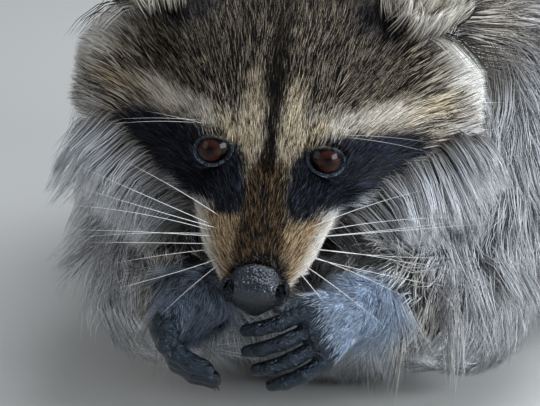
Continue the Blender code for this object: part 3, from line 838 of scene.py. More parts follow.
def attribute(tree, name):
    """Adds a node that reads what the piece's points keep under a name."""
    node = added(tree, "Attribute")
    node.attribute_name = name
    return node


def join(tree, *links):
    """Joins nodes up. Each link is a node, its output, the next node and its input."""
    for start, output, end, socket in links:
        tree.links.new(start.outputs[output], end.inputs[socket])


def new_effect(name, inputs, outputs):
    """An empty node group with named sockets, and its own input and output nodes."""
    group = bpy.data.node_groups.new(name, "ShaderNodeTree")
    for side, sockets in (("INPUT", inputs), ("OUTPUT", outputs)):
        for socket, kind in sockets.items():
            group.interface.new_socket(socket, in_out=side, socket_type="NodeSocket" + kind)
    return group, group.nodes.new("NodeGroupInput"), group.nodes.new("NodeGroupOutput")


# the tint, lighter and darker in small soft patches
patchy, given, result = new_effect(
    "patchy_tint", {"Tint": "Color", "Spread": "Float", "Fineness": "Float"}, {"Tint": "Color"}
)
place = added(patchy, "TexCoord")
noise = added(patchy, "TexNoise", Detail=4)
darkest = added(patchy, "Math", "SUBTRACT", Value=1)
lightest = added(patchy, "Math", "ADD", Value=1)
shade = added(patchy, "MapRange", From_Min=0.3, From_Max=0.7)
mix = added(patchy, "VectorMath", "SCALE")
join(
    patchy,
    (place, "Object", noise, "Vector"),
    (given, "Fineness", noise, "Scale"),
    (given, "Spread", darkest, 1),
    (given, "Spread", lightest, 1),
    (noise, "Fac", shade, "Value"),
    (darkest, "Value", shade, "To Min"),
    (lightest, "Value", shade, "To Max"),
    (given, "Tint", mix, 0),
    (shade, "Result", mix, "Scale"),
    (mix, "Vector", result, "Tint"),
)

# the fine grain of bare skin: pebbles that stand up, or pores that sink in
grained, given, result = new_effect(
    "skin_grain",
    {**dict.fromkeys(("Fineness", "Raised", "Strength", "Distance"), "Float"), "Normal": "Vector"},
    {"Grain": "Float", "Normal": "Vector"},
)
place = added(grained, "TexCoord")
cells = added(grained, "TexVoronoi")
height = added(grained, "Math", "MULTIPLY")
relief = added(grained, "Bump")
join(
    grained,
    (place, "Object", cells, "Vector"),
    (given, "Fineness", cells, "Scale"),
    (cells, "Distance", height, 0),
    (given, "Raised", height, 1),
    (height, "Value", relief, "Height"),
    (given, "Strength", relief, "Strength"),
    (given, "Distance", relief, "Distance"),
    (given, "Normal", relief, "Normal"),
    (cells, "Distance", result, "Grain"),
    (relief, "Normal", result, "Normal"),
)


def with_effect(tree, effect, **values):
    """Adds an effect to a material, with its inputs set."""
    node = tree.nodes.new("ShaderNodeGroup")
    node.node_tree = effect
    for socket, value in values.items():
        node.inputs[socket].default_value = value
    return node


def tinted(name, roughness, specular, spread, size):
    """A material in the piece's own tint, lighter and darker in small patches."""
    material, tree, shader = new_material(name, roughness, specular)
    patches = with_effect(tree, patchy, Spread=spread, Fineness=1 / size)
    join(
        tree,
        (attribute(tree, "tint"), "Color", patches, "Tint"),
        (patches, "Tint", shader, "Base Color"),
    )
    return material, tree, shader


def covered(obj, material):
    """Gives a piece its only material, and smooth shading."""
    obj.data.materials.clear()
    obj.data.materials.append(material)
    obj.data.shade_smooth()


colour_attribute(skin.data, skin_colour)
hide_material, tree, shader = tinted("hide", 0.26, 0.62, 0.3, 4 * MM)
# the hide's highlights are tinted sky-blue: a painted reflection of the sky
shader.inputs["Specular Tint"].default_value = (0.60, 0.78, 1.0, 1)
place = added(tree, "TexCoord")
creases = added(tree, "TexNoise", Scale=1 / (3.0 * MM), Detail=7, Distortion=1.4)
fold = added(tree, "Bump", Strength=1.0, Distance=2.4 * MM)
pores = with_effect(tree, grained, Fineness=1 / (1.1 * MM), Raised=1, Strength=0.6, Distance=0.22 * MM)
join(
    tree,
    (place, "Object", creases, "Vector"),
    (creases, "Fac", fold, "Height"),
    (fold, "Normal", pores, "Normal"),
    (pores, "Normal", shader, "Normal"),
)
covered(skin, hide_material)
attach(skin, "root")
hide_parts(*FLESH)


# ---------------------------------------------------------------- the eyes
# Glass eyes, cast and painted from behind, as a taxidermist sets them into the clay under the lids:
# a small black pupil, a dark brown iris with fine streaks and a black ring at its edge, and a slight
# clear dome in front.
IRIS_ANGLE = 0.64  # radians from the middle of the gaze
PUPIL_ANGLE = 0.20
DOME = 0.3 * MM  # how far the dome stands out in front of the ball


def eyeball(side):
    """One eyeball. Its points keep their angle from the gaze, and their place across it."""
    middle, gaze, wide, tall = eye_axes(side)
    turn = Matrix(np.array([wide, tall, gaze]).T.tolist()).to_4x4()
    work = bmesh.new()
    place = Matrix.Translation(Vector(middle)) @ turn
    bmesh.ops.create_uvsphere(work, u_segments=64, v_segments=48, radius=eye_radius, matrix=place)
    mesh = mesh_from("eyeball_" + side, work)
    points = points_of(mesh)
    away = (points - middle) / eye_radius
    angle = np.arccos(np.clip(away @ gaze, -1, 1))
    move(mesh, points + away * (DOME * ease(IRIS_ANGLE * 1.2, 0, angle))[:, None])
    value_attribute(mesh, "from_gaze", angle)
    value_attribute(mesh, "across", away @ wide)
    value_attribute(mesh, "upright", away @ tall)
    mesh.shade_smooth()
    return placed("eyeball_" + side, mesh)


def ramp(tree, *stops):
    """Adds a ramp of colours. Each stop is its place from 0 to 1, and its colour."""
    node = added(tree, "ValToRGB")
    elements = node.color_ramp.elements
    for number, (position, colour) in enumerate(stops):
        stop = elements[number] if number < 2 else elements.new(position)
        stop.position = position
        stop.color = (*colour, 1)
    return node


eye_material, tree, shader = new_material("eye_glass", 0.2, 0.06)
shader.inputs["Coat Weight"].default_value = 0.2
shader.inputs["Coat Roughness"].default_value = 0.03
streak_place = added(tree, "CombineXYZ")
way_round = added(tree, "VectorMath", "NORMALIZE")
streaks = added(tree, "TexNoise", Scale=9, Detail=3)
streak_shade = added(tree, "MapRange", From_Min=0.35, From_Max=0.65, To_Min=0.65, To_Max=1.35)
zones = ramp(
    tree,
    (PUPIL_ANGLE * 0.7, linear(15, 9, 8)),
    (PUPIL_ANGLE * 1.4, linear(39, 23, 19)),
    (IRIS_ANGLE * 0.80, linear(52, 31, 25)),
    (IRIS_ANGLE * 0.96, linear(24, 15, 12)),
    (IRIS_ANGLE * 1.03, linear(14, 10, 9)),
    (1.0, linear(18, 13, 11)),
)
iris = added(tree, "VectorMath", "SCALE")
join(
    tree,
    (attribute(tree, "across"), "Fac", streak_place, "X"),
    (attribute(tree, "upright"), "Fac", streak_place, "Y"),
    (streak_place, "Vector", way_round, 0),
    (way_round, "Vector", streaks, "Vector"),
    (streaks, "Fac", streak_shade, "Value"),
    (attribute(tree, "from_gaze"), "Fac", zones, "Fac"),
    (zones, "Color", iris, 0),
    (streak_shade, "Result", iris, "Scale"),
    (iris, "Vector", shader, "Base Color"),
)
for side in ("left", "right"):
    ball = eyeball(side)
    ball.data.materials.append(eye_material)
    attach(ball, "root")
    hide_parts("eye_" + side)


# ---------------------------------------------------------------- the nose
# The bare pad of the nose: black, moist skin with a fine pebbled grain, glossy on top, with two
# comma-shaped nostrils that wrap round its sides. A model's is cast and set into the muzzle's end.
NOSE_VOXEL = 0.32 * MM
NOSE_ROOT = 58 * MM  # from the eyes forward to the root of the pad


def nose_form(*balls):
    """A hull of balls given in the head's own axes, in millimetres: middles and radii."""
    spots = []
    for (x, y, z), radii in balls:
        middle = np.array(eyes_at) + from_head(np.array([x * MM, y * MM - NOSE_ROOT, z * MM]))
        spots.append((middle, [radius * MM for radius in radii], head_axes))
    return hull_of(*spots)


bridge_ball = ((0, 1.2, -22.8), (9.8, 4.8, 5.4))
broad_ball = ((0, -3.2, -26.6), (12.8, 5.8, 6.6))
lower_ball = ((0, -2.6, -31.6), (9.4, 5.2, 5.6))
tip_ball = ((0, -0.8, -35.6), (5.0, 4.4, 4.6))
pads = (bridge_ball, broad_ball), (broad_ball, lower_ball), (lower_ball, tip_ball)
forms = [nose_form(*pair) for pair in pads]
groove = ((0, -9.6, -30.0), (0.4, 1.0, 0.6)), ((0, -6.2, -40.0), (0.45, 1.4, 1.0))
cutters = []
for sign in (-1, 1):
    # the wing that wraps round the outside of each nostril, and the nostril's own two lengths
    wing = ((sign * 12.0, -2.2, -26.4), (2.2, 3.6, 4.4)), ((sign * 10.6, -1.2, -31.6), (2.2, 3.6, 2.6))
    forms.append(nose_form(*wing))
    upper = ((sign * 10.3, -6.0, -24.8), (1.9, 4.4, 3.0))
    middle = ((sign * 11.2, -4.8, -28.2), (2.0, 4.6, 2.8))
    slit = ((sign * 12.6, -2.6, -32.4), (1.3, 4.0, 1.4))
    cutters += [nose_form(upper, middle), nose_form(middle, slit)]
nose = melted(joined_up("nose_pad", forms), NOSE_VOXEL, 6)
nostrils = melted(joined_up("nostrils", cutters + [nose_form(*groove)]), NOSE_VOXEL, 1)
carve = nose.modifiers.new("carve", "BOOLEAN")
carve.operation = "DIFFERENCE"
carve.object = nostrils
apply_modifiers(nose)
bpy.data.objects.remove(nostrils)
nose = melted(nose, NOSE_VOXEL, 2)
grain = bpy.data.textures.new("nose_grain", "VORONOI")
grain.noise_scale = 1.15 * MM
raised = nose.modifiers.new("grain", "DISPLACE")
raised.texture = grain
raised.texture_coords = "LOCAL"
raised.mid_level = 0.3
raised.strength = -0.5 * MM
apply_modifiers(nose)
nose_material, tree, shader = new_material("nose_leather", 0.16, 0.22)
# the nose's highlights are tinted sky-blue: a painted reflection of the sky
shader.inputs["Specular Tint"].default_value = (0.74, 0.86, 1.0, 1)
shader.inputs["Coat Roughness"].default_value = 0.08
pebbles = with_effect(tree, grained, Fineness=1 / (0.75 * MM), Raised=-1, Strength=1, Distance=0.28 * MM)
# the black is darker still in the grooves between the pebbles: painted shade
painted_grain_shade = added(tree, "MapRange", To_Min=0.003, To_Max=0.001)
nose_tint = added(tree, "VectorMath", "SCALE")
# the nose's top is painted lighter and bluer than its underside: a painted sheen of the sky
painted_sky_sheen = ramp(tree, (0, (1.0, 1.0, 1.1)), (1, (3.2, 4.4, 7.4)))
on_top = attribute(tree, "upper")
shine = added(tree, "MapRange", To_Min=0.0, To_Max=0.8)
join(
    tree,
    (on_top, "Fac", shine, "Value"),
    (shine, "Result", shader, "Coat Weight"),
    (on_top, "Fac", painted_sky_sheen, "Fac"),
    (painted_sky_sheen, "Color", nose_tint, 0),
    (pebbles, "Normal", shader, "Normal"),
    (pebbles, "Grain", painted_grain_shade, "Value"),
    (painted_grain_shade, "Result", nose_tint, "Scale"),
    (nose_tint, "Vector", shader, "Base Color"),
)
nose_points = in_head(points_of(nose.data)) / MM
upper = ease(-33.5, -23.5, nose_points[:, 2]) * ease(12.0, 5.5, np.abs(nose_points[:, 0]))
value_attribute(nose.data, "upper", upper)
covered(nose, nose_material)
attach(nose, "root")
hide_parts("nose")


# ---------------------------------------------------------------- the claws
# Curved claws of dark horn, the animal's own, one in the end of each digit. Each is the solid claw
# rounded off, with a fine mottled grain in the horn.
horn, tree, shader = new_material("claw_horn", 0.38, 0.5)
place = added(tree, "TexCoord")
grain = added(tree, "TexNoise", Scale=1 / (1.2 * MM), Detail=3)
tones = ramp(tree, (0.35, linear(30, 26, 24)), (0.7, linear(78, 68, 58)))
join(
    tree,
    (place, "Object", grain, "Vector"),
    (grain, "Fac", tones, "Fac"),
    (tones, "Color", shader, "Base Color"),
)
for name in sorted(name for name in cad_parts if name.startswith("claw")):
    claw = copied_together("horn_" + name, [name])
    rounded = claw.modifiers.new("round", "SUBSURF")
    rounded.levels = 2
    rounded.render_levels = 2
    apply_modifiers(claw)
    covered(claw, horn)
    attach(claw, "root")
    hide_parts(name)


# ---------------------------------------------------------------- the coat of the face
# The hide's own short hairs, each a thin closed spike rooted in it. They run from the nose up the
# forehead and out over the cheeks, in small locks, and break the edges of the markings.
LIFT = 0.2 * MM  # roots start this far under the hide
FLOOR_GAP = 0.4 * MM  # no hair comes nearer to the floor
LOCK_HAIRS = 12  # short hairs that lean together; of the long bent ones, twice as many do
GUARD_LENGTH = 1.3  # guard hairs are longer and thinner than the others
GUARD_WIDTH = 0.6
FLATNESS = 0.55  # a hair's section is flatter than it is wide
HAIR_PATCH = 0.0015  # half the size of one hair's patch on the map

skin_corners = skin_points[skin_triangles]
skin_areas = np.linalg.norm(
    np.cross(skin_corners[:, 1] - skin_corners[:, 0], skin_corners[:, 2] - skin_corners[:, 0]), axis=1
) / 2
skin_middle = skin_corners.mean(axis=1)
skin_up = skin_lie.outline - skin_points
skin_gap = np.linalg.norm(skin_up, axis=1, keepdims=True)
skin_up = unit(np.where(skin_gap > 3 * MM, skin_up, skin_normals * 4 * MM))


def ripple(points, size, seed):
    """Three smooth random values at each point, from -1 to 1, that change over about this size."""
    draw = np.random.default_rng(seed)
    total = np.zeros((len(points), 3))
    for _ in range(5):
        wave = draw.normal(size=(3, 3)) * (1.6 / size)
        total += np.sin(points @ wave + draw.uniform(0, 2 * math.pi, 3))
    return total / 2.2


def unwrapped(triangles):
    """The map of some of the hide's triangles on their own unwrap, stretched to fill the square."""
    used, corners = np.unique(skin_triangles[triangles], return_inverse=True)
    mesh = bpy.data.meshes.new("unwrap")
    mesh.from_pydata(skin_points[used].tolist(), [], corners.reshape(-1, 3).tolist())
    obj = placed("unwrap", mesh)
    bpy.context.view_layer.objects.active = obj
    obj.select_set(True)
    bpy.ops.object.mode_set(mode="EDIT")
    bpy.ops.mesh.select_all(action="SELECT")
    bpy.ops.uv.smart_project(angle_limit=1.3, island_margin=0.0, scale_to_bounds=True)
    bpy.ops.object.mode_set(mode="OBJECT")
    places = stored_in(mesh.uv_layers.active.data, "uv", width=2).reshape(-1, 3, 2).astype(float)
    bpy.data.objects.remove(obj)
    low = places.min(axis=(0, 1))
    high = places.max(axis=(0, 1))
    return 0.004 + 0.992 * (places - low) / (high - low)


def spikes(name, starts, rings, widths, tips, sides, colours, places):
    """One mesh of thin closed spikes. Rings are the middles of each spike's three-sided sections.

    With starts, each spike runs to a point at its root too. Without, its first section is its base.
    """
    count = len(tips)
    steps = len(rings)
    line = rings + [tips]
    turns = np.radians([90, 210, 330])
    columns = [] if starts is None else [starts]
    first = len(columns)
    for step in range(steps):
        ahead_way = unit(line[step + 1] - line[step])
        side_way = unit(sides - ahead_way * (sides * ahead_way).sum(axis=1, keepdims=True))
        top_way = np.cross(side_way, ahead_way)
        for turn in turns:
            offset = side_way * math.cos(turn) + FLATNESS * top_way * math.sin(turn)
            columns.append(line[step] + offset * widths[step][:, None] / 2)
    columns.append(tips)
    points = np.stack(columns, axis=1)
    if starts is None:
        faces = [(0, 1, 2)]
    else:
        faces = [(0, 1 + turn, 1 + (turn + 1) % 3) for turn in range(3)]
    for step in range(steps - 1):
        for turn in range(3):
            low, low_next = first + 3 * step + turn, first + 3 * step + (turn + 1) % 3
            faces += [(low, low + 3, low_next), (low_next, low + 3, low_next + 3)]
    last = first + 3 * (steps - 1)
    end = last + 3
    faces += [(last + turn, end, last + (turn + 1) % 3) for turn in range(3)]
    faces = np.array(faces)
    per = end + 1
    corners = (faces[None] + per * np.arange(count)[:, None, None]).reshape(-1)
    mesh = bpy.data.meshes.new(name)
    mesh.vertices.add(count * per)
    mesh.vertices.foreach_set("co", np.maximum(points, [-9, -9, FLOOR_GAP]).astype(np.float32).ravel())
    mesh.loops.add(len(corners))
    mesh.loops.foreach_set("vertex_index", corners.astype(np.int32))
    mesh.polygons.add(len(corners) // 3)
    mesh.polygons.foreach_set("loop_start", np.arange(0, len(corners), 3, dtype=np.int32))
    mesh.update(calc_edges=True)
    tint = np.repeat(np.stack(colours, axis=1), [1] * first + [3] * steps + [1], axis=1)
    colour_attribute(mesh, tint.reshape(-1, 3))
    # each spike is a small patch of the map, its root below and its tip above
    patch = [(0, -HAIR_PATCH)] * first
    for step in range(steps):
        up = -HAIR_PATCH + 2 * HAIR_PATCH * (step + first) / (steps + first)
        patch += [(turn * HAIR_PATCH, up) for turn in (-1, 0, 1)]
    patch = np.array(patch + [(0, HAIR_PATCH)])
    spots = (places[:, None] + patch[None]).reshape(-1, 2)[corners]
    layer = mesh.uv_layers.new(name="OFBake")
    layer.data.foreach_set("uv", spots.astype(np.float32).ravel())
    mesh.materials.append(fur_material)
    mesh.shade_smooth()
    return placed(name, mesh)


def sown(draw, triangles, count, chance):
    """Random places on some triangles: which of them, and the shares of its corners."""
    return draw.choice(len(triangles), count, p=chance / chance.sum()), draw.dirichlet((1, 1, 1), count)


def locks_of(roots, centres):
    """The lock that each hair is in: which of the centres is the nearest to its root."""
    tree = KDTree(len(centres))
    for number, centre in enumerate(centres):
        tree.insert(roots[centre], number)
    tree.balance()
    return np.array([tree.find(root)[1] for root in roots])


def above_form(points):
    """How far points stand off the form, and which way it faces there."""
    nearest, facing, _ = nearest_form(points)
    return ((points - nearest) * facing).sum(axis=1), facing


def coat(
    name, part, count, bent, width, seed, density=None, clump=0.25, wild=0.12, guards=0.0
):
    """Grows one piece of the coat on part of the hide: straight short hairs, or long bent ones.

    Density says where hairs grow thicker, clump how much they lean together, wild how much they
    stray, and guards what share of them are guard hairs.
    """
    draw = np.random.default_rng(seed)
    triangles = np.flatnonzero(part)
    chance = skin_areas[triangles] * (1 if density is None else density[triangles])
    picked, shares = sown(draw, triangles, count, chance)
    chosen = triangles[picked]

    def at(values):
        corners = values[skin_triangles[chosen]]
        return (corners * (shares[:, :, None] if values.ndim > 1 else shares)).sum(axis=1)

    roots = at(skin_points)
    upward = unit(at(skin_up))
    depth = at(skin_lie.depth)
    guard = draw.uniform(size=count) < guards
    length = at(skin_lie.length) * draw.uniform(0.72, 1.15, count) * np.where(guard, GUARD_LENGTH, 1.0)
    way = unit(at(skin_lie.way))
    wild = wild * (1.25 if bent else 1.0)
    waves = 0.16 * ripple(roots, 5 * MM + 0.5 * length.mean(), seed)
    way += waves + wild * draw.normal(size=(count, 3))
    flat = unit(way - upward * (way * upward).sum(axis=1, keepdims=True))
    rise = np.minimum(depth * draw.uniform(0.85, 1.12, count) + 0.5 * MM, 0.72 * length)
    run = np.sqrt(length**2 - rise**2)
    # a hair stands up first, and then bends over to lie along the body
    middles = roots + upward * (0.66 * rise)[:, None] + flat * (0.40 * run)[:, None]
    tips = roots + upward * rise[:, None] + flat * run[:, None]
    # neighbours lean together into locks
    hairs = 2 * LOCK_HAIRS if bent else LOCK_HAIRS
    centres = draw.choice(count, max(count // hairs, 1), replace=False)
    lock = locks_of(roots, centres)
    leader = centres[lock]
    together = clump * draw.uniform(0.6, 1.4, count)[:, None]
    tips += (tips[leader] - tips) * together * 0.9
    middles += (middles[leader] - middles) * together * 0.35
    if bent:
        # none of it stands far out of the coat's outline
        tip_height = draw.uniform(-0.12, 0.08, count) * depth
        for line, wanted in ((middles, -0.30 * depth), (tips, tip_height)):
            height, facing = above_form(line)
            line -= facing * (np.maximum(height - wanted, 0) * 0.9)[:, None]
    sides = np.cross(flat, upward)
    # a hair has the colour of the place where most of it shows, a little way out from its root
    jittered = roots + 0.5 * (tips - roots)
    jittered += draw.normal(size=(count, 3)) * 0.9 * MM + ripple(roots, 3 * MM, seed + 1) * 0.4 * MM
    root_tint, middle_tint, tip_tint, pale, dark = fur_colours(
        marked(jittered, upward, Lie(jittered))
    )
    # some hairs are pale at the tip, some black, and most guard hairs pale
    choice = draw.uniform(size=count)
    end = np.where((choice < pale)[:, None], tip_tint, middle_tint)
    end = np.where((choice > 1 - dark)[:, None], np.array(BLACK_TIP), end)
    tone = draw.uniform(0.72, 1.28, count)[:, None] * draw.uniform(0.85, 1.15, count)[lock][:, None]
    end = np.where((guard & (choice < 0.8))[:, None], tip_tint, end)
    widths = width * draw.uniform(0.75, 1.25, count) * np.where(guard, GUARD_WIDTH, 1.0)
    start = roots - upward * LIFT
    if bent:
        rings = [middles]
        colours = [root_tint * tone, (0.4 * middle_tint + 0.6 * end) * tone, end * tone]
    else:
        rings = [start]
        colours = [(0.3 * root_tint + 0.1 * middle_tint + 0.6 * end) * tone, end * tone]
    places = (unwrapped(triangles)[picked] * shares[:, :, None]).sum(axis=1)
    piece = spikes(name, start if bent else None, rings, [widths], tips, sides, colours, places)
    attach(piece, "root")


fur_material, tree, shader = tinted("fur", 0.5, 0.12, 0.12, 9 * MM)
triangle_owner = np.array([solid_owner[solid_tree.find_nearest(point)[2]] for point in skin_middle])


def on_nodes(*starts):
    """Which of the hide's triangles lie under solids whose names start so."""
    return np.char.startswith(triangle_owner[:, None], np.array(starts)[None]).any(axis=1)


skin_middle_head = in_head(skin_middle) / CM
face_wide, face_up = face_plan(skin_middle)
on_head = on_nodes("head", "muzzle", "jaw")
# the lids' edges and the bare rims stay free of hair
clear_of_lids = np.ones(len(skin_middle), bool)
for side in ("left", "right"):
    spread, forward, _ = from_opening(skin_middle, side)
    clear_of_lids &= (spread > 1.56) | (forward < -2 * MM)
LONG_FROM = 8.5 * MM  # where the coat is deeper, its hairs are long and bent
coat_depth_here = skin_lie.depth[skin_triangles].mean(axis=1)
short_face = on_head & clear_of_lids & (coat_depth_here < LONG_FROM)
muzzle_part = short_face & (face_up < -1.2) & (skin_middle_head[:, 1] < 1.0)
brow_part = short_face & ~muzzle_part & (np.abs(face_wide) < 2.4)
beside = short_face & ~muzzle_part & ~brow_part
left_part = beside & (face_wide > 0)
right_part = beside & (face_wide <= 0)
coat("coat_muzzle", muzzle_part, 24000, False, 0.34 * MM, 11, clump=0.15)
coat("coat_brow", brow_part, 32000, False, 0.42 * MM, 12, clump=0.2)
coat("coat_face_left", left_part, 28000, False, 0.46 * MM, 13, clump=0.2)
coat("coat_face_right", right_part, 28000, False, 0.46 * MM, 14, clump=0.2)


# ---------------------------------------------------------------- the long coat
# The long hair of the same hide: thicker locks of underfur and guard hair over the cheeks, neck,
# trunk and limbs. Each bends over to lie along the body, its tip at the coat's outline, and pale
# guard hairs reach beyond it.
long_head = on_head & (coat_depth_here >= LONG_FROM)
long_left = long_head & (face_wide > 0)
long_right = long_head & (face_wide <= 0)
coat("coat_cheek_left", long_left, 14000, True, 0.56 * MM, 21, clump=0.4, guards=0.12)
coat("coat_cheek_right", long_right, 12500, True, 0.56 * MM, 22, clump=0.4, guards=0.12)

nearer = ease(0.25, -0.15, skin_middle[:, 1]) * 1.5 + 0.5
wrist_part = on_nodes("forearm") & (from_wrists(skin_middle) < 40 * MM)
for name, part, count, width, seed in (
    ("coat_neck", on_nodes("neck"), 21000, 0.54 * MM, 31),
    ("coat_chest", on_nodes("chest"), 11000, 0.75 * MM, 32),
    ("coat_arm_left", on_nodes("upper_arm_left", "forearm_left") & ~wrist_part, 14000, 0.55 * MM, 33),
    ("coat_arm_right", on_nodes("upper_arm_right", "forearm_right") & ~wrist_part, 9000, 0.65 * MM, 34),
    ("coat_belly", on_nodes("belly"), 6500, 1.1 * MM, 35),
    ("coat_rump", on_nodes("rump"), 7500, 1.1 * MM, 36),
    ("coat_leg_left", on_nodes("thigh_left", "shank_left"), 4000, 1.1 * MM, 37),
    ("coat_leg_right", on_nodes("thigh_right", "shank_right"), 4000, 1.1 * MM, 38),
):
    coat(name, part, count, True, width, seed, nearer, clump=0.6, guards=0.15)
coat("coat_wrists", wrist_part, 13000, False, 0.34 * MM, 40, clump=0.15, wild=0.05)
coat("coat_tail", on_nodes("tail"), 7500, True, 1.05 * MM, 39, clump=0.4)


# ---------------------------------------------------------------- the loose fringes
# The loosest guard hairs of the same hide, combed out last on the breast and shoulders, the cheeks
# and before the ears. They hang in pointed locks over what is below, and end short of the floor.
FRINGE_STEPS = 4
FRINGE_LOCK = 16  # hairs that gather to one point
FRINGE_FLOOR = 1.5 * MM  # none of it hangs lower


def draped(roots, way, length, off, fall, waves):
    """Where long hairs bend as they fall from their roots over what is near them."""
    line = [roots]
    heading = way
    for step in range(FRINGE_STEPS):
        heading = unit(heading + fall + waves * ripple(line[-1], 16 * MM, 70 + step))
        further = line[-1] + heading * (length / FRINGE_STEPS)[:, None]
        height, facing = above_form(further)
        further = further + facing * np.maximum(off - height, 0)[:, None]
        further[:, 2] = np.maximum(further[:, 2], FRINGE_FLOOR)
        heading = unit(further - line[-1])
        line.append(further)
    return line


def fringe(name, part, count, width, seed, hair, fall, spread=0.0, waves=0.3):
    """Grows one piece of fringe on part of the hide.

    Hair is its length, fall the way it drops, spread how far it parts to the sides, and waves how
    much it bends about.
    """
    draw = np.random.default_rng(seed)
    triangles = np.flatnonzero(part)
    picked, shares = sown(draw, triangles, count, skin_areas[triangles])
    corners = skin_triangles[triangles[picked]]
    roots = (skin_points[corners] * shares[:, :, None]).sum(axis=1)
    upward = unit(skin_up[corners].mean(axis=1))
    way = unit(skin_lie.way[corners].mean(axis=1)) + 0.6 * upward + 0.10 * draw.normal(size=(count, 3))
    way += 0.25 * ripple(roots, 14 * MM, seed)
    length = hair * draw.uniform(0.7, 1.15, count)
    outwards = np.sign(roots[:, :1] - eyes_at.x) * from_head(np.array([1.0, 0.0, 0.0]))
    off = draw.uniform(-1.0, 3.0, count) * MM
    line = draped(roots, unit(way), length, off, fall + spread * outwards, waves)
    centres = draw.choice(count, count // FRINGE_LOCK, replace=False)
    lock = locks_of(roots, centres)
    leader = centres[lock]
    gather = draw.uniform(0.35, 0.85, count)[:, None]
    for step in range(2, FRINGE_STEPS + 1):
        to_leader = line[step][leader] - line[step]
        line[step] = line[step] + to_leader * gather * (step - 1) / (FRINGE_STEPS - 1)
    weights = marked(line[2], upward, Lie(line[2]))
    root_tint, middle_tint, tip_tint, pale, dark = fur_colours(weights)
    choice = draw.uniform(size=count)
    end = np.where((choice < 0.3 + 0.7 * pale)[:, None], tip_tint, middle_tint)
    tone = draw.uniform(0.8, 1.15, count)[:, None] * draw.uniform(0.82, 1.12, count)[lock][:, None]
    colours = [root_tint * tone, 0.7 * root_tint * tone + 0.3 * middle_tint * tone]
    colours += [middle_tint * tone, (0.5 * middle_tint + 0.5 * end) * tone, end * tone]
    widths = width * draw.uniform(0.75, 1.25, count)
    widths = [widths * 0.8, widths, widths * 0.8]
    sides = np.cross(unit(line[-1] - line[0]), upward)
    places = (unwrapped(triangles)[picked] * shares[:, :, None]).sum(axis=1)
    start = line[0] - upward * LIFT
    piece = spikes(name, start, line[1:-1], widths, line[-1], sides, colours, places)
    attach(piece, "root")


def between(low, high, values):
    return (values > low) & (values < high)


skin_facing = skin_normals[skin_triangles].mean(axis=1)
shoulder_high = between(0.06, 0.15, skin_middle[:, 2]) & (skin_middle[:, 1] < 0.03)
fringed = on_nodes("neck", "upper_arm", "chest", "forearm") & (skin_facing[:, 1] < 0.35) & shoulder_high
fringed &= from_wrists(skin_middle) > 50 * MM
left_of_face = skin_middle[:, 0] > eyes_at.x
fringe("fringe_left", fringed & left_of_face, 4800, 0.46 * MM, 61, 42 * MM, 0.5 * DOWN)
fringe("fringe_right", fringed & ~left_of_face, 2000, 0.46 * MM, 62, 36 * MM, 0.5 * DOWN)
# the long pale hair that hangs from the cheeks, below the mask
behind_eyes = skin_middle_head[:, 1]
facing_up = skin_facing @ from_head(np.array([0.0, math.sin(FACE_SLOPE), math.cos(FACE_SLOPE)]))
under_cheeks = on_nodes("head", "jaw") & (facing_up < -0.25)
under_cheeks &= between(2.0, 6.4, np.abs(face_wide)) & between(1.0, 8, behind_eyes)
fringe("fringe_cheeks", under_cheeks, 5200, 0.44 * MM, 63, 40 * MM, 0.6 * DOWN, 0.14, 0.2)
# the outer end of the left cheek, which hangs over the neck
cheek_end = on_nodes("head") & (face_wide > 6.3) & between(-1.2, 2.0, face_up)
cheek_end &= (facing_up < 0.75) & (behind_eyes < 10)
fringe(
    "fringe_outer_cheek", cheek_end, 2000, 0.42 * MM, 65, 30 * MM, 0.45 * DOWN, 0.1, 0.2
)
# the tufts in front of the ears
ear_foot = on_nodes("head", "ear") & between(4.5, 6.4, face_up) & (behind_eyes < 7.5)
ear_foot &= between(4.0, 7.3, np.abs(face_wide))
upwards = 0.35 * from_head(np.array([0.0, 0.15, 1.0]))
fringe("fringe_ears", ear_foot, 1800, 0.40 * MM, 64, 22 * MM, upwards, 0.1, 0.1)


# ---------------------------------------------------------------- the coat of the ears and paws
# The shortest hair of the hide. It covers the ears, and thins out to bare skin on the fingers, toes
# and palms.
coat("coat_ears", on_nodes("ear"), 6500, False, 0.5 * MM, 41, clump=0.15)
furred_paw = on_nodes("hand") & (from_wrists(skin_middle) < 1.1 * PALM_LENGTH)
furred_paw |= on_nodes("foot") & (skin_middle[:, 2] > 0.006)
thinner = ease(1.15 * PALM_LENGTH, 0.7 * PALM_LENGTH, from_wrists(skin_middle))
coat("coat_paws", furred_paw, 6000, False, 0.28 * MM, 42, thinner, clump=0.1)


# ---------------------------------------------------------------- the whiskers
# Stiff white bristles, 3 to 7 cm long, in rows on the muzzle's sides, with finer ones over the
# eyes. Each is a thin tapering rod with a slight bend, rooted in the hide.
WHISKER_WIDTH = 0.31 * MM
WHISKER_STEPS = 12
WHISKER_SIDES = 4
TAPER = 0.93  # the share of its width that a bristle has lost at the tip


def on_face(wide, up):
    """The point of the hide's front that lies there on the plan of the face, in centimetres."""
    away = np.hypot(face_s - wide, face_t - up)
    near = np.flatnonzero(away < away.min() + 0.12)
    return skin_points[near[in_head(skin_points[near])[:, 1].argmin()]]


def whisker(root, heading, length, sag, width):
    """The rings of one bristle. It bends evenly from its heading towards the direction of sag."""
    steps = np.linspace(0, 1, WHISKER_STEPS)[:, None]
    middle = root + heading * length * steps + sag * length * steps**2
    ahead_way = unit(np.gradient(middle, axis=0))
    side_way = unit(np.cross(ahead_way, np.array([[0.1, 0.2, 1.0]])))
    top_way = np.cross(side_way, ahead_way)
    turn = np.arange(WHISKER_SIDES) * 2 * math.pi / WHISKER_SIDES
    radius = width / 2 * (1 - TAPER * steps**1.3)
    across_way = side_way[:, None] * np.cos(turn)[None, :, None]
    ring = across_way + top_way[:, None] * np.sin(turn)[None, :, None]
    return middle[:, None] + ring * radius[:, None]


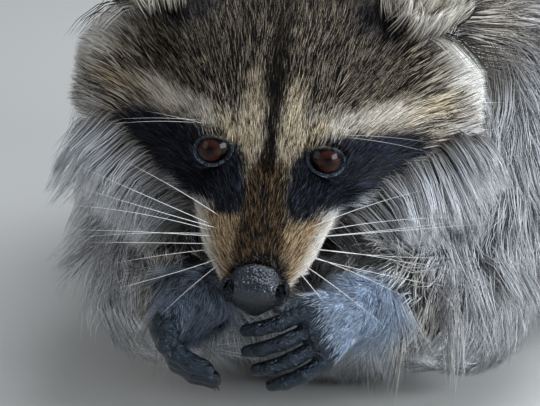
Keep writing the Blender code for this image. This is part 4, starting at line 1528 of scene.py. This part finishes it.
face_s, face_t = face_plan(skin_points)
front = in_head(skin_points)[:, 1] < 3 * CM
face_s = np.where(front & (skin_lie.share("head", "muzzle") > 0.5), face_s, 1e3)
# root across and up the face in cm, heading across, up and back, length in cm
WHISKERS = (
    (1.85, -2.75, 0.92, 0.42, 0.20, 5.0),
    (2.10, -3.00, 0.95, 0.24, 0.16, 6.4),
    (1.95, -3.30, 0.97, 0.20, 0.10, 5.8),
    (2.30, -3.25, 0.98, 0.10, 0.18, 6.6),
    (2.10, -3.60, 1.00, 0.04, 0.10, 6.2),
    (2.30, -3.75, 1.00, -0.04, 0.16, 5.2),
    (2.00, -4.00, 0.98, -0.14, 0.10, 5.6),
    (2.20, -4.10, 0.95, -0.28, 0.14, 4.4),
    (1.90, -4.35, 0.88, -0.46, 0.10, 4.4),
    (1.75, -4.70, 0.72, -0.68, 0.05, 3.4),
)
FINE_WHISKERS = (
    (2.0, 1.0, 0.80, 0.45, -0.30, 3.4),
    (2.5, 1.1, 0.92, 0.25, -0.25, 4.4),
    (3.2, 1.0, 0.97, 0.10, -0.15, 3.6),
)
draw = np.random.default_rng(51)
rings = []
for rows, width in ((WHISKERS, WHISKER_WIDTH), (FINE_WHISKERS, 0.5 * WHISKER_WIDTH)):
    for wide, up, out, rise, back, length in rows:
        for sign in (-1, 1):
            root = on_face(sign * wide + draw.normal() * 0.06, up + draw.normal() * 0.06)
            backward = rise * math.sin(FACE_SLOPE) + back - 0.12
            heading = np.array([sign * out, backward, rise * math.cos(FACE_SLOPE)])
            heading = from_head(unit((heading + draw.normal(size=3) * 0.05)[None]))[0]
            bend = from_head(np.array([0.0, 0.10, draw.uniform(-0.22, 0.05)]))
            rings.append(whisker(root, heading, length * CM * draw.uniform(0.9, 1.08), bend, width))
per_whisker = WHISKER_STEPS * WHISKER_SIDES
faces = []
for number in range(len(rings)):
    first = number * per_whisker
    for step in range(WHISKER_STEPS - 1):
        low = first + step * WHISKER_SIDES
        high = low + WHISKER_SIDES
        for turn in range(WHISKER_SIDES):
            beside = (turn + 1) % WHISKER_SIDES
            faces.append((low + turn, low + beside, high + beside, high + turn))
    faces.append(tuple(first + turn for turn in reversed(range(WHISKER_SIDES))))
    faces.append(tuple(first + per_whisker - WHISKER_SIDES + turn for turn in range(WHISKER_SIDES)))
mesh = bpy.data.meshes.new("whiskers")
mesh.from_pydata(np.concatenate(rings).reshape(-1, 3).tolist(), [], faces)
mesh.shade_smooth()
whiskers = placed("whiskers", mesh)
bristle, tree, shader = new_material("bristle", 0.35, 0.5)
shader.inputs["Base Color"].default_value = (*linear(236, 234, 230), 1)
mesh.materials.append(bristle)
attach(whiskers, "root")

# ---------------------------------------------------------------- floor, lamps and camera
# A plain pale painted floor in a pale room, four soft lamps, and the camera, a little above the
# animal's eyes and straight before its face.
CAMERA_RAISED = math.radians(14)
CAMERA_AWAY = 2.0
CAMERA_LENS = 325  # millimetres, on a film 36 mm wide
AIM_DROP = 20.9 * MM  # the eyes stand this far above the middle of the picture

work = bmesh.new()
bmesh.ops.create_grid(work, x_segments=1, y_segments=1, size=6)
floor = placed("floor", mesh_from("floor", work))
floor_material, tree, shader = new_material("floor_paint", 0.8, 0.2)
shader.inputs["Base Color"].default_value = (0.62, 0.62, 0.60, 1)
floor.data.materials.append(floor_material)

world = bpy.data.worlds.new("studio")
world.use_nodes = True
background = world.node_tree.nodes["Background"]
background.inputs["Color"].default_value = (0.86, 0.92, 1.0, 1)
background.inputs["Strength"].default_value = 0.30
scene.world = world


def lamp(name, size, power, colour, place):
    """A soft square lamp that is aimed at the animal, at a place given from below its eyes."""
    light = bpy.data.lights.new(name, "AREA")
    light.shape = "RECTANGLE"
    light.size, light.size_y = size
    light.energy = power
    light.color = colour
    obj = placed(name, light)
    obj.location = Vector(place) + Vector((eyes_at.x, eyes_at.y, 0))
    aim = Vector((eyes_at.x, eyes_at.y + 0.05, 0.1)) - obj.location
    obj.rotation_euler = aim.to_track_quat("-Z", "Y").to_euler()


lamp("sky_lamp", (1.1, 0.9), 14, (0.88, 0.94, 1.0), (0.45, -0.1, 1.5))
lamp("window_lamp", (0.9, 0.7), 26, (0.88, 0.94, 1.0), (1.25, -0.75, 0.5))
lamp("rim_lamp", (0.8, 0.8), 5, (0.97, 0.98, 1.0), (0.9, 0.7, 1.0))
lamp("side_lamp", (0.7, 0.9), 3.5, (1.0, 0.98, 0.95), (-1.1, -0.6, 0.6))

camera = bpy.data.cameras.new("camera")
camera.lens = CAMERA_LENS
camera.sensor_width = 36
camera.clip_start = 0.05
camera_object = placed("camera", camera)
view_up = Vector((0, math.sin(CAMERA_RAISED), math.cos(CAMERA_RAISED)))
view_back = Vector((0, -math.cos(CAMERA_RAISED), math.sin(CAMERA_RAISED)))
aim = eyes_at - view_up * AIM_DROP
camera_object.location = aim + view_back * CAMERA_AWAY
camera_object.rotation_euler = view_back.to_track_quat("Z", "Y").to_euler()
scene.camera = camera_object

scene.view_settings.view_transform = "Standard"
